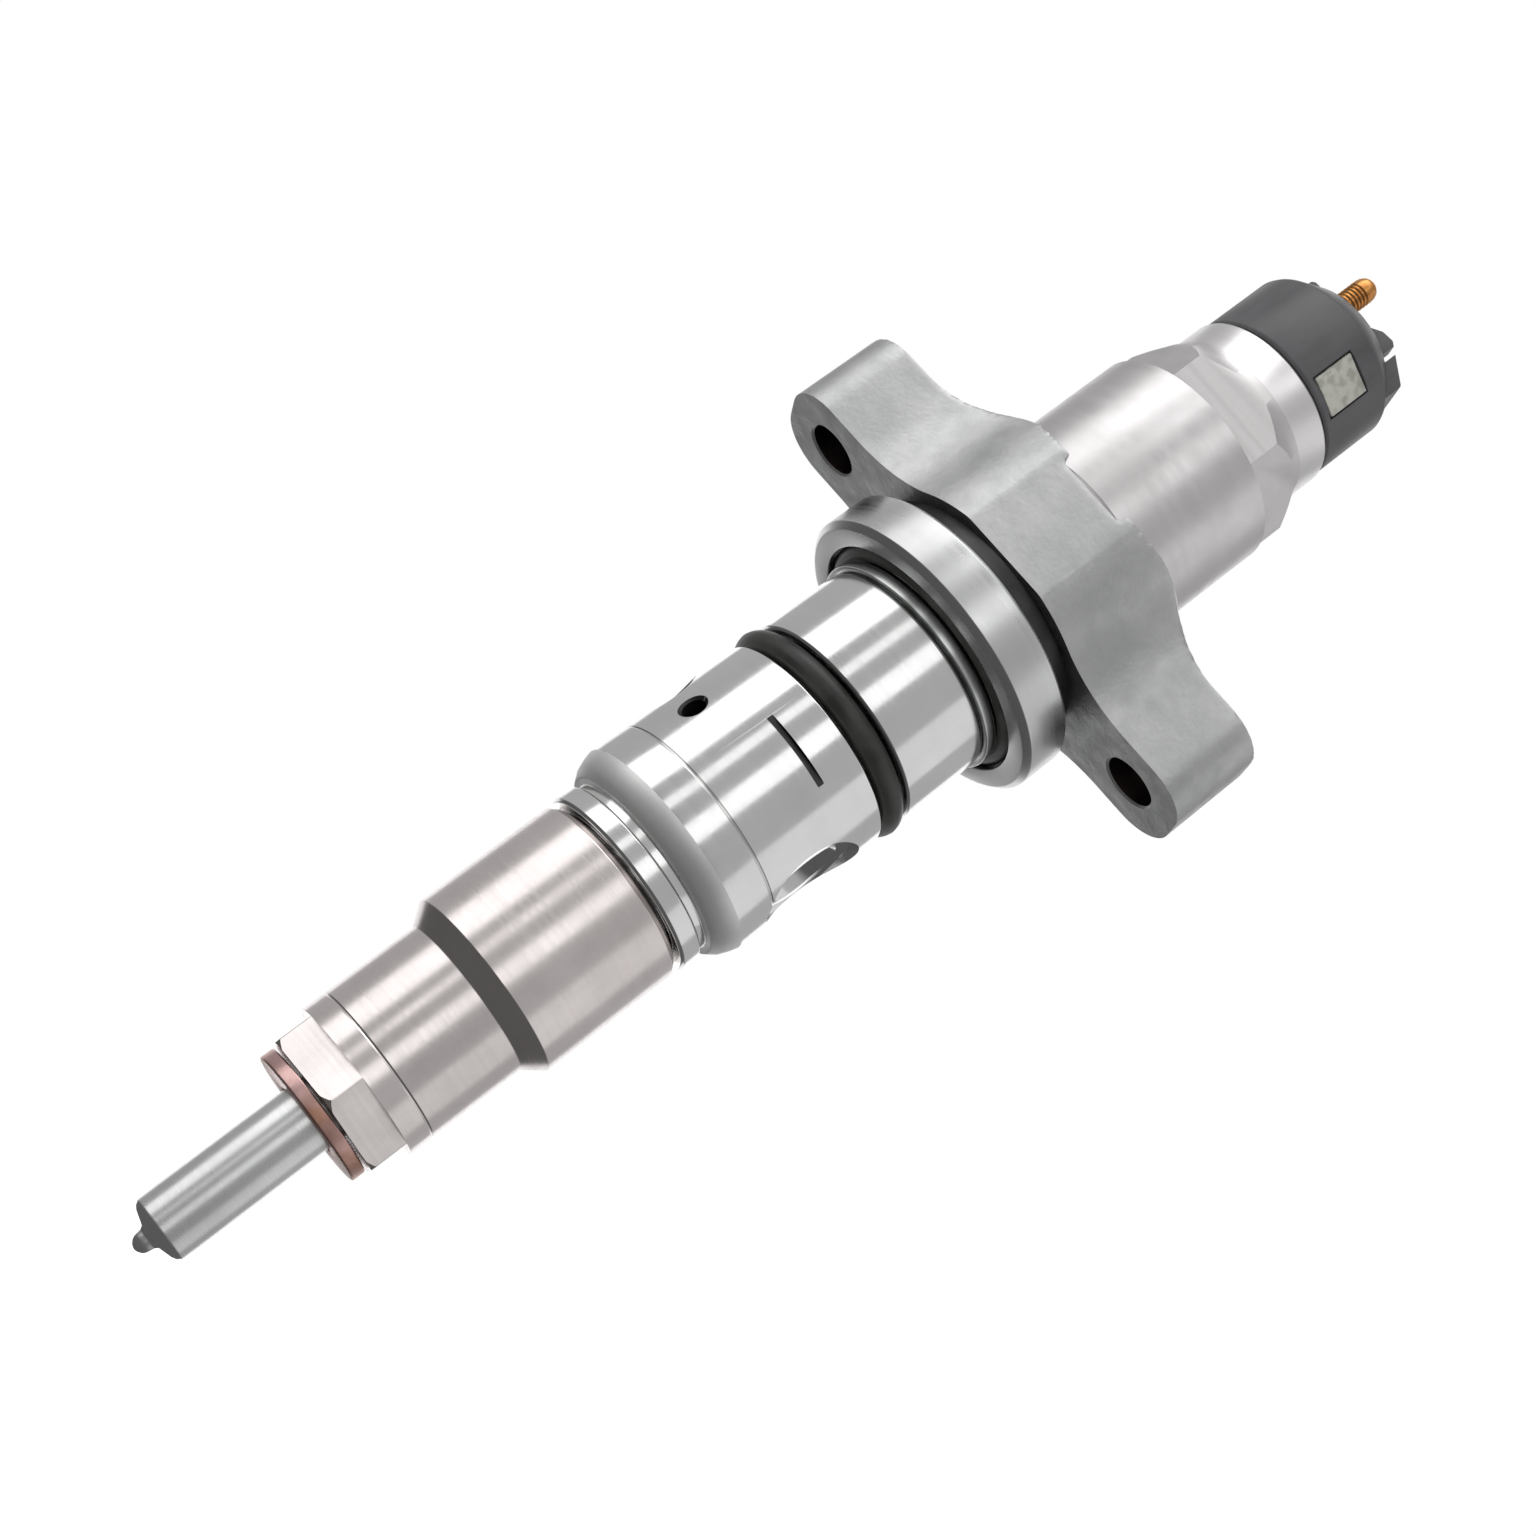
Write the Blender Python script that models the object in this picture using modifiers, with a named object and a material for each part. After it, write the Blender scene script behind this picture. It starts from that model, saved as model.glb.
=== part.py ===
"""Heavy-duty common-rail fuel injector with a two-ear clamp, modelled as its separate pieces.

Run with: blender --background --python part.py
Units are metres, +Z runs along the injector from the nozzle to the terminals.
The origin is on the injector's axis, in the plane of the clamp's underside.
"""
import math

import bmesh
import bpy
from mathutils import Matrix, Vector

MM = 0.001

# Driving dimensions, in millimetres. A height is a Z value, and 0 is the clamp's underside.
GAP = 0.3                # left between faces that touch on the real injector
OUTER_STEPS = 36         # facets round a large turned piece
INNER_STEPS = 16         # facets round a small one

NOZZLE_TIP_Z = -112.7
SHANK_R = 3.75
NOZZLE_COLLAR_R = 6.9
NOZZLE_TOP_Z = -68.0
NEEDLE_GUIDE_R = 2.05
NEEDLE_TOP_Z = -65.0

WASHER_Z = -92.0
WASHER_THICK = 1.6
WASHER_R = 7.8
SHANK_HOLE_R = SHANK_R + GAP

NUT_BOTTOM_Z = -90.1
NUT_TOP_Z = -52.3
NUT_LOWER_R = 9.2
NUT_UPPER_R = 11.0
NUT_HEX_AF = 16.0
NUT_HEX_TOP_Z = -85.8
NUT_HEX_TURN = 12.0      # degrees round the axis

BODY_R = 13.0
BODY_SWELL_R = 13.1
BODY_SWELL_Z = -41.0
BODY_THREAD_R = 9.0
BODY_NECK_R = 12.5
BODY_TOP_Z = 24.0
TOP_THREAD_R = 11.4
COLLAR_R = 18.0
COLLAR_LOW_Z = -9.25
COLLAR_HIGH_Z = -3.1
SHOULDER_R = 15.2
PISTON_BORE_R = 2.25
SPRING_ROOM_R = 3.6
SPRING_ROOM_TOP_Z = -51.4

ORING_Z = -23.8
ORING_SECTION_R = 1.5
ORING_RING_R = 12.0

INLET_Z = -35.5
INLET_FACE_X = 11.3
INLET_FLOOR_X = 8.0
INLET_FACE_R = 6.6
FEED_X = 5.2             # the high-pressure drilling's distance from the axis
FEED_R = 0.9
DOWEL_Y = 5.2
DOWEL_R = 0.9
SIDE_FACE_TURN = 194.0   # degrees, the direction of the shallow spot-face behind the inlet
SIDE_FACE_R = 4.2
SIDE_FACE_DEPTH_R = 12.45        # its floor's distance from the axis
SIDE_FACE_Z = -35.2
RETURN_TURN = 230.0      # degrees, the direction of the fuel return hole
RETURN_R = 1.4
SLOT_TURN = 282.0        # degrees, the direction of the index slot
SLOT_Z = -30.8
SLOT_FLOOR = 12.2
SLOT_THICK = 0.8

CLAMP_THICK = 12.0
CLAMP_HUB_R = 16.4
CLAMP_BORE_R = BODY_NECK_R + GAP
CLAMP_RIM_BORE_R = 13.9
CLAMP_RIM_Z = 17.0
EAR_TIP_X = 32.5
EAR_HALF_WIDTH = 7.2
EAR_CORNER_R = 5.6
EAR_FILLET_R = 16.0
BOLT_X = 25.5
BOLT_HOLE_R = 3.3
CLAMP_PAD_Y = 15.4
NOTCH_HALF_WIDTH = 4.6
NOTCH_Z = 12.9
RIM_STEP_Z = 13.2        # floor of the recess that takes the cap nut's rim
SADDLE_R = 37.0
SADDLE_Z = 13.7

CAP_NUT_R = 13.6
CAP_NUT_LOW_Z = 13.5
CAP_NUT_TOP_Z = 44.6
CAP_NUT_NECK_R = 11.05
CAP_NUT_HEX_AF = 23.0
CAP_NUT_HEX_Z = 31.7
CAP_NUT_HEX_TURN = 4.0   # degrees round the axis
CAP_NUT_HOLE_R = 8.9
MAGNET_BORE_R = 10.6

CAP_R = 10.8
CAP_LOW_Z = CAP_NUT_TOP_Z + GAP
CAP_TOP_Z = 59.1
CAP_SPIGOT_R = CAP_NUT_HOLE_R - GAP
GUARD_HALF_WIDTH = 4.6
GUARD_OUTLINE = [(1.0, 54.0), (1.0, 59.4), (3.2, 60.8), (4.8, 60.9), (9.7, 57.4), (9.7, 54.0)]
KEY_HALF_WIDTH = 2.4
KEY_OUTLINE = [(-7.4, 57.0), (-7.4, 60.0), (-7.0, 60.4), (-5.0, 60.4), (-5.0, 57.0)]
STUD_R = 1.6
STUD_LOW_Z = 50.0
STUD_1 = (-3.0, -0.5, 67.05)     # X, Y and top
STUD_2 = (5.4, 0.0, 60.4)
STUD_ROOM_R = 2.5

LABEL_TURN = -55.0       # degrees round the axis
LABEL_Z = 48.9
LABEL_SIZE = (0.5, 5.0, 5.6)     # thickness, width, height
LABEL_FACE = 10.65       # its outer face's distance from the axis

VALVE_SEAT_Z = 11.0
VALVE_ROOM_R = 7.6
BALL_R = 0.75
PIN_R = 1.3

for old in list(bpy.data.objects):
    bpy.data.objects.remove(old)

parts = bpy.data.collections.new("fuel_injector")
cutters = bpy.data.collections.new("cutters")
bpy.context.scene.collection.children.link(parts)
bpy.context.scene.collection.children.link(cutters)


def material(name, colour, roughness, metallic):
    """A plain Principled material for one kind of surface."""
    made = bpy.data.materials.new(name)
    made.use_nodes = True
    shader = made.node_tree.nodes["Principled BSDF"]
    shader.inputs["Base Color"].default_value = (*colour, 1.0)
    shader.inputs["Roughness"].default_value = roughness
    shader.inputs["Metallic"].default_value = metallic
    made.diffuse_color = (*colour, 1.0)
    return made


FINISHES = {
    "ground_steel": ((0.72, 0.73, 0.74), 0.22, 1.0),
    "nut_steel": ((0.58, 0.53, 0.52), 0.38, 1.0),
    "polished_steel": ((0.78, 0.79, 0.79), 0.14, 1.0),
    "forged_steel": ((0.42, 0.43, 0.42), 0.55, 1.0),
    "satin_steel": ((0.62, 0.60, 0.61), 0.34, 1.0),
    "inner_steel": ((0.55, 0.56, 0.57), 0.30, 1.0),
    "spring_steel": ((0.40, 0.41, 0.43), 0.35, 1.0),
    "copper": ((0.55, 0.28, 0.20), 0.35, 1.0),
    "terminal_copper": ((0.60, 0.24, 0.07), 0.35, 1.0),
    "black_rubber": ((0.02, 0.02, 0.02), 0.45, 0.0),
    "black_plastic": ((0.05, 0.05, 0.055), 0.45, 0.0),
    "label_grey": ((0.28, 0.28, 0.25), 0.55, 0.0),
    "coil_resin": ((0.25, 0.10, 0.04), 0.50, 0.0),
    "magnet_iron": ((0.30, 0.30, 0.31), 0.50, 1.0),
}


def finish(piece, slot):
    """Gives a piece a material of its own with the slot's colour."""
    piece.data.materials.clear()
    piece.data.materials.append(material(piece.name + "_finish", *FINISHES[slot]))


def smooth(mesh, angle=35.0):
    """Shades round faces smooth and keeps the machined edges sharp."""
    mesh.shade_smooth()
    work = bmesh.new()
    work.from_mesh(mesh)
    for edge in work.edges:
        if len(edge.link_faces) == 2 and edge.calc_face_angle() > math.radians(angle):
            edge.smooth = False
    work.to_mesh(mesh)
    work.free()


def turned(name, profile, slot, steps=OUTER_STEPS, ring=False, collection=parts):
    """A lathe-turned piece: (radius, height) points that run down the outer side.

    A ring's outline is closed, so its points come back up the bore.
    """
    mesh = bpy.data.meshes.new(name)
    work = bmesh.new()
    points = [work.verts.new((r * MM, 0.0, z * MM)) for r, z in profile]
    for first, second in zip(points, points[1:]):
        work.edges.new((first, second))
    if ring:
        work.edges.new((points[-1], points[0]))
    work.to_mesh(mesh)
    work.free()
    piece = bpy.data.objects.new(name, mesh)
    collection.objects.link(piece)
    screw = piece.modifiers.new("Turn", "SCREW")
    screw.steps = screw.render_steps = steps
    screw.use_merge_vertices = True
    screw.merge_threshold = 0.000001
    screw.use_smooth_shade = True
    if slot:
        finish(piece, slot)
    return piece


def washer(name, outer_r, inner_r, low, high, slot, steps=OUTER_STEPS, edge=0.15):
    """A flat ring with its outer edges eased."""
    profile = [
        (inner_r, high),
        (outer_r - edge, high),
        (outer_r, high - edge),
        (outer_r, low + edge),
        (outer_r - edge, low),
        (inner_r, low),
    ]
    return turned(name, profile, slot, steps, ring=True)


def rod(name, radius, low, high, slot, edge=0.3, steps=INNER_STEPS):
    """A solid round bar with its ends eased."""
    profile = [
        (0.0, high),
        (radius - edge, high),
        (radius, high - edge),
        (radius, low + edge),
        (radius - edge, low),
        (0.0, low),
    ]
    return turned(name, profile, slot, steps)


def mesh_piece(name, work, collection=parts, slot=None):
    """Puts a finished bmesh into a new object."""
    mesh = bpy.data.meshes.new(name)
    work.normal_update()
    bmesh.ops.recalc_face_normals(work, faces=work.faces)
    work.to_mesh(mesh)
    work.free()
    piece = bpy.data.objects.new(name, mesh)
    collection.objects.link(piece)
    if slot:
        finish(piece, slot)
    return piece


def oring(name, ring_r, section_r, height, slot):
    """A round-section seal ring."""
    bpy.ops.mesh.primitive_torus_add(
        major_segments=32,
        minor_segments=8,
        major_radius=ring_r * MM,
        minor_radius=section_r * MM,
        location=(0.0, 0.0, height * MM),
    )
    piece = bpy.context.object
    piece.name = name
    piece.data.shade_smooth()
    piece.users_collection[0].objects.unlink(piece)
    parts.objects.link(piece)
    finish(piece, slot)
    return piece


def spring(name, mean_r, wire_r, low, high, turns, slot, points_per_turn=10):
    """A coil spring between two heights, as a curve along a helix."""
    count = int(turns * points_per_turn) + 1
    curve = bpy.data.curves.new(name, "CURVE")
    curve.dimensions = "3D"
    curve.bevel_depth = wire_r * MM
    curve.bevel_resolution = 1
    curve.use_fill_caps = True
    line = curve.splines.new("POLY")
    line.points.add(count - 1)
    start = low + wire_r
    rise = high - low - 2.0 * wire_r
    for index, point in enumerate(line.points):
        angle = math.tau * index / points_per_turn
        point.co = (
            mean_r * MM * math.cos(angle),
            mean_r * MM * math.sin(angle),
            (start + rise * index / (count - 1)) * MM,
            1.0,
        )
    piece = bpy.data.objects.new(name, curve)
    parts.objects.link(piece)
    finish(piece, slot)
    return piece


def cutter(name, work, placement):
    """A cutting tool from a bmesh, hidden from renders, placed by a matrix."""
    work.transform(placement)
    tool = mesh_piece(name, work, cutters)
    tool.hide_render = True
    tool.display_type = "WIRE"
    return tool


def box_cutter(name, low, high, turn=0.0):
    """A box between two corners, turned round the axis by some degrees."""
    size = Vector(high) - Vector(low)
    middle = (Vector(high) + Vector(low)) / 2.0
    work = bmesh.new()
    bmesh.ops.create_cube(work, size=1.0)
    bmesh.ops.scale(work, vec=size * MM, verts=work.verts)
    bmesh.ops.translate(work, vec=middle * MM, verts=work.verts)
    return cutter(name, work, Matrix.Rotation(math.radians(turn), 4, "Z"))


def round_cutter(name, low_r, high_r, start, along, length, steps=INNER_STEPS):
    """A drill or countersink from a start point, along a direction."""
    work = bmesh.new()
    bmesh.ops.create_cone(
        work,
        cap_ends=True,
        segments=steps,
        radius1=low_r * MM,
        radius2=high_r * MM,
        depth=length * MM,
    )
    bmesh.ops.translate(work, vec=(0.0, 0.0, length * MM / 2.0), verts=work.verts)
    aim = Vector(along).to_track_quat("Z", "Y").to_matrix().to_4x4()
    return cutter(name, work, Matrix.Translation(Vector(start) * MM) @ aim)


def cut(piece, *tools, operation="DIFFERENCE"):
    """Adds one exact Boolean for each tool."""
    for tool in tools:
        change = piece.modifiers.new(tool.name, "BOOLEAN")
        change.operation = operation
        change.solver = "EXACT"
        change.object = tool


def direction(turn):
    """The unit vector at some degrees round the axis."""
    angle = math.radians(turn)
    return (math.cos(angle), math.sin(angle), 0.0)


def hex_cutters(name, across_flats, low, high, turn, reach=8.0):
    """Six boxes that mill a hexagon between two heights, with a flat square to turn."""
    near = across_flats / 2.0
    return [
        box_cutter(f"{name}_{side}", (near, -reach, low), (near + 5.0, reach, high), turn + 60.0 * side)
        for side in range(6)
    ]


def make_nozzle():
    """The nozzle body with its needle, and the parts between it and the holder."""
    nozzle = turned("nozzle_body", [
        (0.0, -111.2),
        (0.45, -110.9),
        (0.45, -110.2),
        (2.3, -107.0),
        (2.3, -85.2),
        (4.6, -84.2),
        (4.6, -80.8),
        (2.15, -79.6),
        (2.15, NOZZLE_TOP_Z),
        (NOZZLE_COLLAR_R - 0.4, NOZZLE_TOP_Z),
        (NOZZLE_COLLAR_R, NOZZLE_TOP_Z - 0.4),
        (NOZZLE_COLLAR_R, -86.4),
        (NOZZLE_COLLAR_R - 0.4, -86.8),
        (SHANK_R, -86.8),
        (SHANK_R, -109.5),
        (3.42, -110.05),
        (3.0, -110.3),
        (1.45, -110.75),
        (1.2, -111.1),
        (1.15, -111.6),
        (0.9, -112.25),
        (0.5, -112.58),
        (0.0, NOZZLE_TIP_Z),
    ], "ground_steel", steps=24)
    feed = round_cutter("nozzle_feed", FEED_R, FEED_R, (FEED_X, 0, -82.5), (0, 0, 1), 16.0, 12)
    cut(nozzle, feed)
    for number, side in ((1, 1.0), (2, -1.0)):
        place = (0.0, side * DOWEL_Y)
        socket = round_cutter(f"dowel_hole_{number}", 1.2, 1.2, (*place, -71.0), (0, 0, 1), 6.3, 16)
        cut(nozzle, socket)
        pin = rod(f"dowel_pin_{number}", DOWEL_R, -70.6, -65.0, "inner_steel", 0.15, 12)
        pin.location = (place[0] * MM, place[1] * MM, 0.0)

    turned("nozzle_needle", [
        (0.0, NEEDLE_TOP_Z),
        (1.2, NEEDLE_TOP_Z),
        (1.2, -67.5),
        (NEEDLE_GUIDE_R, -67.5),
        (NEEDLE_GUIDE_R, -79.2),
        (1.5, -80.2),
        (1.5, -107.4),
        (0.0, -110.0),
    ], "inner_steel", steps=INNER_STEPS)
    washer("spring_seat", 3.2, 1.5, -67.2, -65.6, "inner_steel", INNER_STEPS)
    spring("nozzle_spring", 2.85, 0.4, -65.3, -53.0, 7, "spring_steel")
    washer("spring_shim", 3.3, 2.5, -52.7, -51.7, "inner_steel", INNER_STEPS)
    rod("control_piston", 2.1, NEEDLE_TOP_Z + GAP, 9.0, "inner_steel")


def make_retaining_nut():
    """The nut that clamps the nozzle to the body, and the copper washer under it."""
    nut = turned("nozzle_retaining_nut", [
        (9.3, NUT_TOP_Z),
        (NUT_UPPER_R - 0.8, NUT_TOP_Z),
        (NUT_UPPER_R, NUT_TOP_Z - 0.8),
        (NUT_UPPER_R, -69.5),
        (NUT_LOWER_R, -71.8),
        (NUT_LOWER_R, NUT_BOTTOM_Z + 0.4),
        (NUT_LOWER_R - 0.3, NUT_BOTTOM_Z),
        (SHANK_HOLE_R, NUT_BOTTOM_Z),
        (SHANK_HOLE_R, -87.1),
        (7.2, -87.1),
        (7.2, -71.2),
        (9.3, -70.0),
    ], "nut_steel", ring=True)
    cut(nut, *hex_cutters("nut_flat", NUT_HEX_AF, -91.0, NUT_HEX_TOP_Z, NUT_HEX_TURN))
    washer("combustion_washer", WASHER_R, SHANK_HOLE_R, WASHER_Z, WASHER_Z + WASHER_THICK, "copper")


def make_body():
    """The injector body: threads at both ends, the inlet, the seal grooves and the collar."""
    groove_low = ORING_Z - 1.85
    groove_high = ORING_Z + 1.85
    body = turned("injector_body", [
        (VALVE_ROOM_R, BODY_TOP_Z),
        (TOP_THREAD_R - 0.5, BODY_TOP_Z),
        (TOP_THREAD_R, BODY_TOP_Z - 0.5),
        (TOP_THREAD_R, RIM_STEP_Z),
        (BODY_NECK_R, RIM_STEP_Z),
        (BODY_NECK_R, -GAP),
        (SHOULDER_R, -GAP),
        (SHOULDER_R, COLLAR_HIGH_Z),
        (COLLAR_R - 0.3, COLLAR_HIGH_Z),
        (COLLAR_R, COLLAR_HIGH_Z - 0.3),
        (COLLAR_R, COLLAR_LOW_Z + 0.4),
        (COLLAR_R - 0.4, COLLAR_LOW_Z),
        (15.0, COLLAR_LOW_Z),
        (15.0, -7.0),
        (12.2, -7.0),
        (12.2, -11.2),
        (BODY_R, -11.2),
        (BODY_R, groove_high),
        (10.15, groove_high),
        (10.15, groove_low),
        (BODY_R, groove_low),
        (BODY_R, BODY_SWELL_Z),
        (BODY_SWELL_R, BODY_SWELL_Z),
        (BODY_SWELL_R, -45.6),
        (12.6, -47.3),
        (11.6, -48.4),
        (10.6, -48.4),
        (10.6, -49.4),
        (11.3, -49.4),
        (11.3, NUT_TOP_Z + GAP),
        (BODY_THREAD_R, NUT_TOP_Z + GAP),
        (BODY_THREAD_R, -67.2),
        (BODY_THREAD_R - 0.5, NOZZLE_TOP_Z + GAP),
        (SPRING_ROOM_R, NOZZLE_TOP_Z + GAP),
        (SPRING_ROOM_R, SPRING_ROOM_TOP_Z),
        (PISTON_BORE_R, SPRING_ROOM_TOP_Z),
        (PISTON_BORE_R, 0.3),
        (5.5, 0.3),
        (5.5, VALVE_SEAT_Z),
        (VALVE_ROOM_R, VALVE_SEAT_Z),
    ], "polished_steel", ring=True)
    sockets = [bpy.data.objects[f"dowel_hole_{number}"] for number in (1, 2)]
    spot_face = round_cutter(
        "inlet_face", INLET_FACE_R, INLET_FACE_R, (INLET_FACE_X, 0, INLET_Z), (1, 0, 0), 6.0, 28)
    cone = round_cutter("inlet_cone", 3.1, 5.2, (INLET_FLOOR_X, 0, INLET_Z), (1, 0, 0), 4.3, 24)
    inlet_feed = round_cutter("inlet_feed", 1.0, 1.0, (4.8, 0, INLET_Z), (1, 0, 0), 4.0, 12)
    feed = round_cutter("body_feed", FEED_R, FEED_R, (FEED_X, 0, -70.0), (0, 0, 1), 35.2, 12)
    outward = Vector(direction(RETURN_TURN))
    return_hole = round_cutter(
        "return_hole", RETURN_R, RETURN_R, outward * 7.5 + Vector((0, 0, INLET_Z)), outward, 8.0, 20)
    behind = Vector(direction(SIDE_FACE_TURN))
    side_face = round_cutter(
        "side_face", SIDE_FACE_R, SIDE_FACE_R, behind * SIDE_FACE_DEPTH_R + Vector((0, 0, SIDE_FACE_Z)),
        behind, 4.0, 24)
    slot = box_cutter(
        "index_slot",
        (SLOT_FLOOR, -8.0, SLOT_Z - SLOT_THICK / 2.0),
        (SLOT_FLOOR + 3.0, 8.0, SLOT_Z + SLOT_THICK / 2.0),
        SLOT_TURN,
    )
    cut(body, *sockets, spot_face, cone, inlet_feed, feed, side_face, return_hole, slot)

    oring("body_o_ring", ORING_RING_R, ORING_SECTION_R, ORING_Z, "black_rubber")
    oring("collar_seal", 13.6, 1.05, -8.2, "black_rubber")
    washer("backing_ring", 13.5, 12.5, -11.0, -9.6, "polished_steel")


def arc(centre_x, centre_y, radius, start, end, count):
    """Points on a circle from one angle to another, in degrees."""
    return [
        (
            centre_x + radius * math.cos(math.radians(start + (end - start) * step / count)),
            centre_y + radius * math.sin(math.radians(start + (end - start) * step / count)),
        )
        for step in range(count + 1)
    ]


def clamp_outline():
    """The clamp seen from above: a round hub, two ears, and fillets where they meet."""
    fillet_y = EAR_HALF_WIDTH + EAR_FILLET_R
    fillet_x = math.sqrt((CLAMP_HUB_R + EAR_FILLET_R) ** 2 - fillet_y ** 2)
    hub_angle = math.degrees(math.atan2(fillet_y, fillet_x))
    corner_x = EAR_TIP_X - EAR_CORNER_R
    corner_y = EAR_HALF_WIDTH - EAR_CORNER_R
    quarter = arc(corner_x, corner_y, EAR_CORNER_R, 0.0, 90.0, 6)
    quarter += arc(fillet_x, fillet_y, EAR_FILLET_R, 270.0, 180.0 + hub_angle, 5)
    quarter += arc(0.0, 0.0, CLAMP_HUB_R, hub_angle, 90.0, 5)[1:]
    left = [(-x, y) for x, y in reversed(quarter[:-1])]
    upper = quarter + left
    return upper + [(x, -y) for x, y in reversed(upper)]


def make_clamp():
    """The forged clamp: ears with bolt holes on a hub that rises round the cap nut."""
    work = bmesh.new()
    underside = work.faces.new([work.verts.new((x * MM, y * MM, 0.0)) for x, y in clamp_outline()])
    raised = bmesh.ops.extrude_face_region(work, geom=[underside])["geom"]
    top = [item for item in raised if isinstance(item, bmesh.types.BMVert)]
    bmesh.ops.translate(work, vec=(0.0, 0.0, CLAMP_RIM_Z * MM), verts=top)
    clamp = mesh_piece("clamp_flange", work, slot="forged_steel")

    shape = turned("clamp_crown", [
        (0.0, CLAMP_RIM_Z + 1.0),
        (14.8, CLAMP_RIM_Z + 1.0),
        (14.8, CLAMP_RIM_Z - 0.2),
        (15.9, 15.4),
        (17.6, 14.1),
        (19.8, 13.0),
        (22.6, 12.25),
        (25.5, CLAMP_THICK),
        (40.0, CLAMP_THICK),
        (40.0, -1.0),
        (0.0, -1.0),
    ], None, collection=cutters)
    shape.hide_render = True
    shape.display_type = "WIRE"
    cut(clamp, shape, operation="INTERSECT")

    bore = round_cutter("clamp_bore", CLAMP_BORE_R, CLAMP_BORE_R, (0, 0, -2.0), (0, 0, 1), 24.0, OUTER_STEPS)
    rim_bore = round_cutter(
        "clamp_rim_bore", CLAMP_RIM_BORE_R, CLAMP_RIM_BORE_R, (0, 0, RIM_STEP_Z), (0, 0, 1), 8.0, OUTER_STEPS)
    saddle = round_cutter(
        "clamp_saddle", SADDLE_R, SADDLE_R, (0, -30.0, SADDLE_Z + SADDLE_R), (0, 1, 0), 60.0, 64)
    cut(clamp, bore, rim_bore, saddle)
    for number, side in ((1, 1.0), (2, -1.0)):
        hole = round_cutter(
            f"bolt_hole_{number}", BOLT_HOLE_R, BOLT_HOLE_R, (side * BOLT_X, 0, -2.0), (0, 0, 1), 18.0, 24)
        pad = box_cutter(
            f"clamp_pad_{number}", (CLAMP_PAD_Y, -7.0, -1.0), (CLAMP_PAD_Y + 4.0, 7.0, 20.0), 90.0 * side)
        notch = box_cutter(
            f"clamp_notch_{number}",
            (13.0, -NOTCH_HALF_WIDTH, NOTCH_Z),
            (20.0, NOTCH_HALF_WIDTH, 20.0),
            90.0 * side,
        )
        cut(clamp, hole, pad, notch)


def make_valve():
    """The control valve in the top of the body, and the armature that works it."""
    washer("high_pressure_seal", 5.2, 2.7, 0.6, 1.7, "copper", OUTER_STEPS)
    turned("valve_body", [
        (0.4, 13.5),
        (7.0, 13.5),
        (7.3, 13.2),
        (7.3, VALVE_SEAT_Z + GAP),
        (5.2, VALVE_SEAT_Z + GAP),
        (5.2, 2.0),
        (PISTON_BORE_R, 2.0),
        (PISTON_BORE_R, 10.0),
        (0.4, 10.0),
    ], "inner_steel", ring=True)
    bpy.ops.mesh.primitive_uv_sphere_add(
        segments=16, ring_count=8, radius=BALL_R * MM, location=(0.0, 0.0, 14.5 * MM))
    ball = bpy.context.object
    ball.name = "valve_ball"
    ball.data.shade_smooth()
    ball.users_collection[0].objects.unlink(ball)
    parts.objects.link(ball)
    finish(ball, "polished_steel")
    rod("ball_holder", 1.6, 15.5, 17.0, "inner_steel")
    washer("spacer_sleeve", 7.3, 5.4, 13.8, 17.7, "inner_steel")
    turned("armature_guide", [
        (1.4, 24.6),
        (2.7, 24.6),
        (2.9, 24.4),
        (2.9, 20.0),
        (7.0, 20.0),
        (7.3, 19.7),
        (7.3, 18.0),
        (1.4, 18.0),
    ], "inner_steel", ring=True)
    washer("valve_clamp_nut", 7.3, 3.3, 20.3, 23.8, "inner_steel")
    rod("armature_pin", PIN_R, 17.3, 31.0, "inner_steel")
    washer("armature_plate", 8.4, 1.6, 26.8, 28.6, "magnet_iron")
    spring("armature_spring", 2.3, 0.25, 24.9, 26.5, 2, "spring_steel")


def make_magnet():
    """The solenoid: pot core, coil, valve spring and lift shim, held by the cap nut."""
    turned("solenoid_core", [
        (0.0, 41.0),
        (9.9, 41.0),
        (10.3, 40.6),
        (10.3, 29.3),
        (8.9, 29.3),
        (8.9, 37.8),
        (4.6, 37.8),
        (4.6, 29.3),
        (2.6, 29.3),
        (2.6, 40.2),
        (0.0, 40.2),
    ], "magnet_iron")
    washer("solenoid_coil", 8.6, 4.9, 29.7, 37.5, "coil_resin", edge=0.4)
    spring("valve_spring", 1.9, 0.3, 31.3, 39.2, 6, "spring_steel")
    rod("lift_shim", 2.2, 39.5, 39.9, "inner_steel", 0.1)

    nut = turned("solenoid_nut", [
        (CAP_NUT_HOLE_R, CAP_NUT_TOP_Z),
        (CAP_NUT_NECK_R - 0.4, CAP_NUT_TOP_Z),
        (CAP_NUT_NECK_R, CAP_NUT_TOP_Z - 0.4),
        (CAP_NUT_NECK_R, 40.1),
        (11.8, 38.2),
        (13.4, 35.9),
        (CAP_NUT_R, 35.5),
        (CAP_NUT_R, CAP_NUT_LOW_Z + 0.4),
        (CAP_NUT_R - 0.4, CAP_NUT_LOW_Z),
        (TOP_THREAD_R + GAP, CAP_NUT_LOW_Z),
        (TOP_THREAD_R + GAP, 26.0),
        (MAGNET_BORE_R, 26.6),
        (MAGNET_BORE_R, 41.3),
        (CAP_NUT_HOLE_R, 41.3),
    ], "satin_steel", ring=True)
    cut(nut, *hex_cutters("cap_nut_flat", CAP_NUT_HEX_AF, CAP_NUT_HEX_Z, 41.0, 270.0 + CAP_NUT_HEX_TURN))


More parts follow.
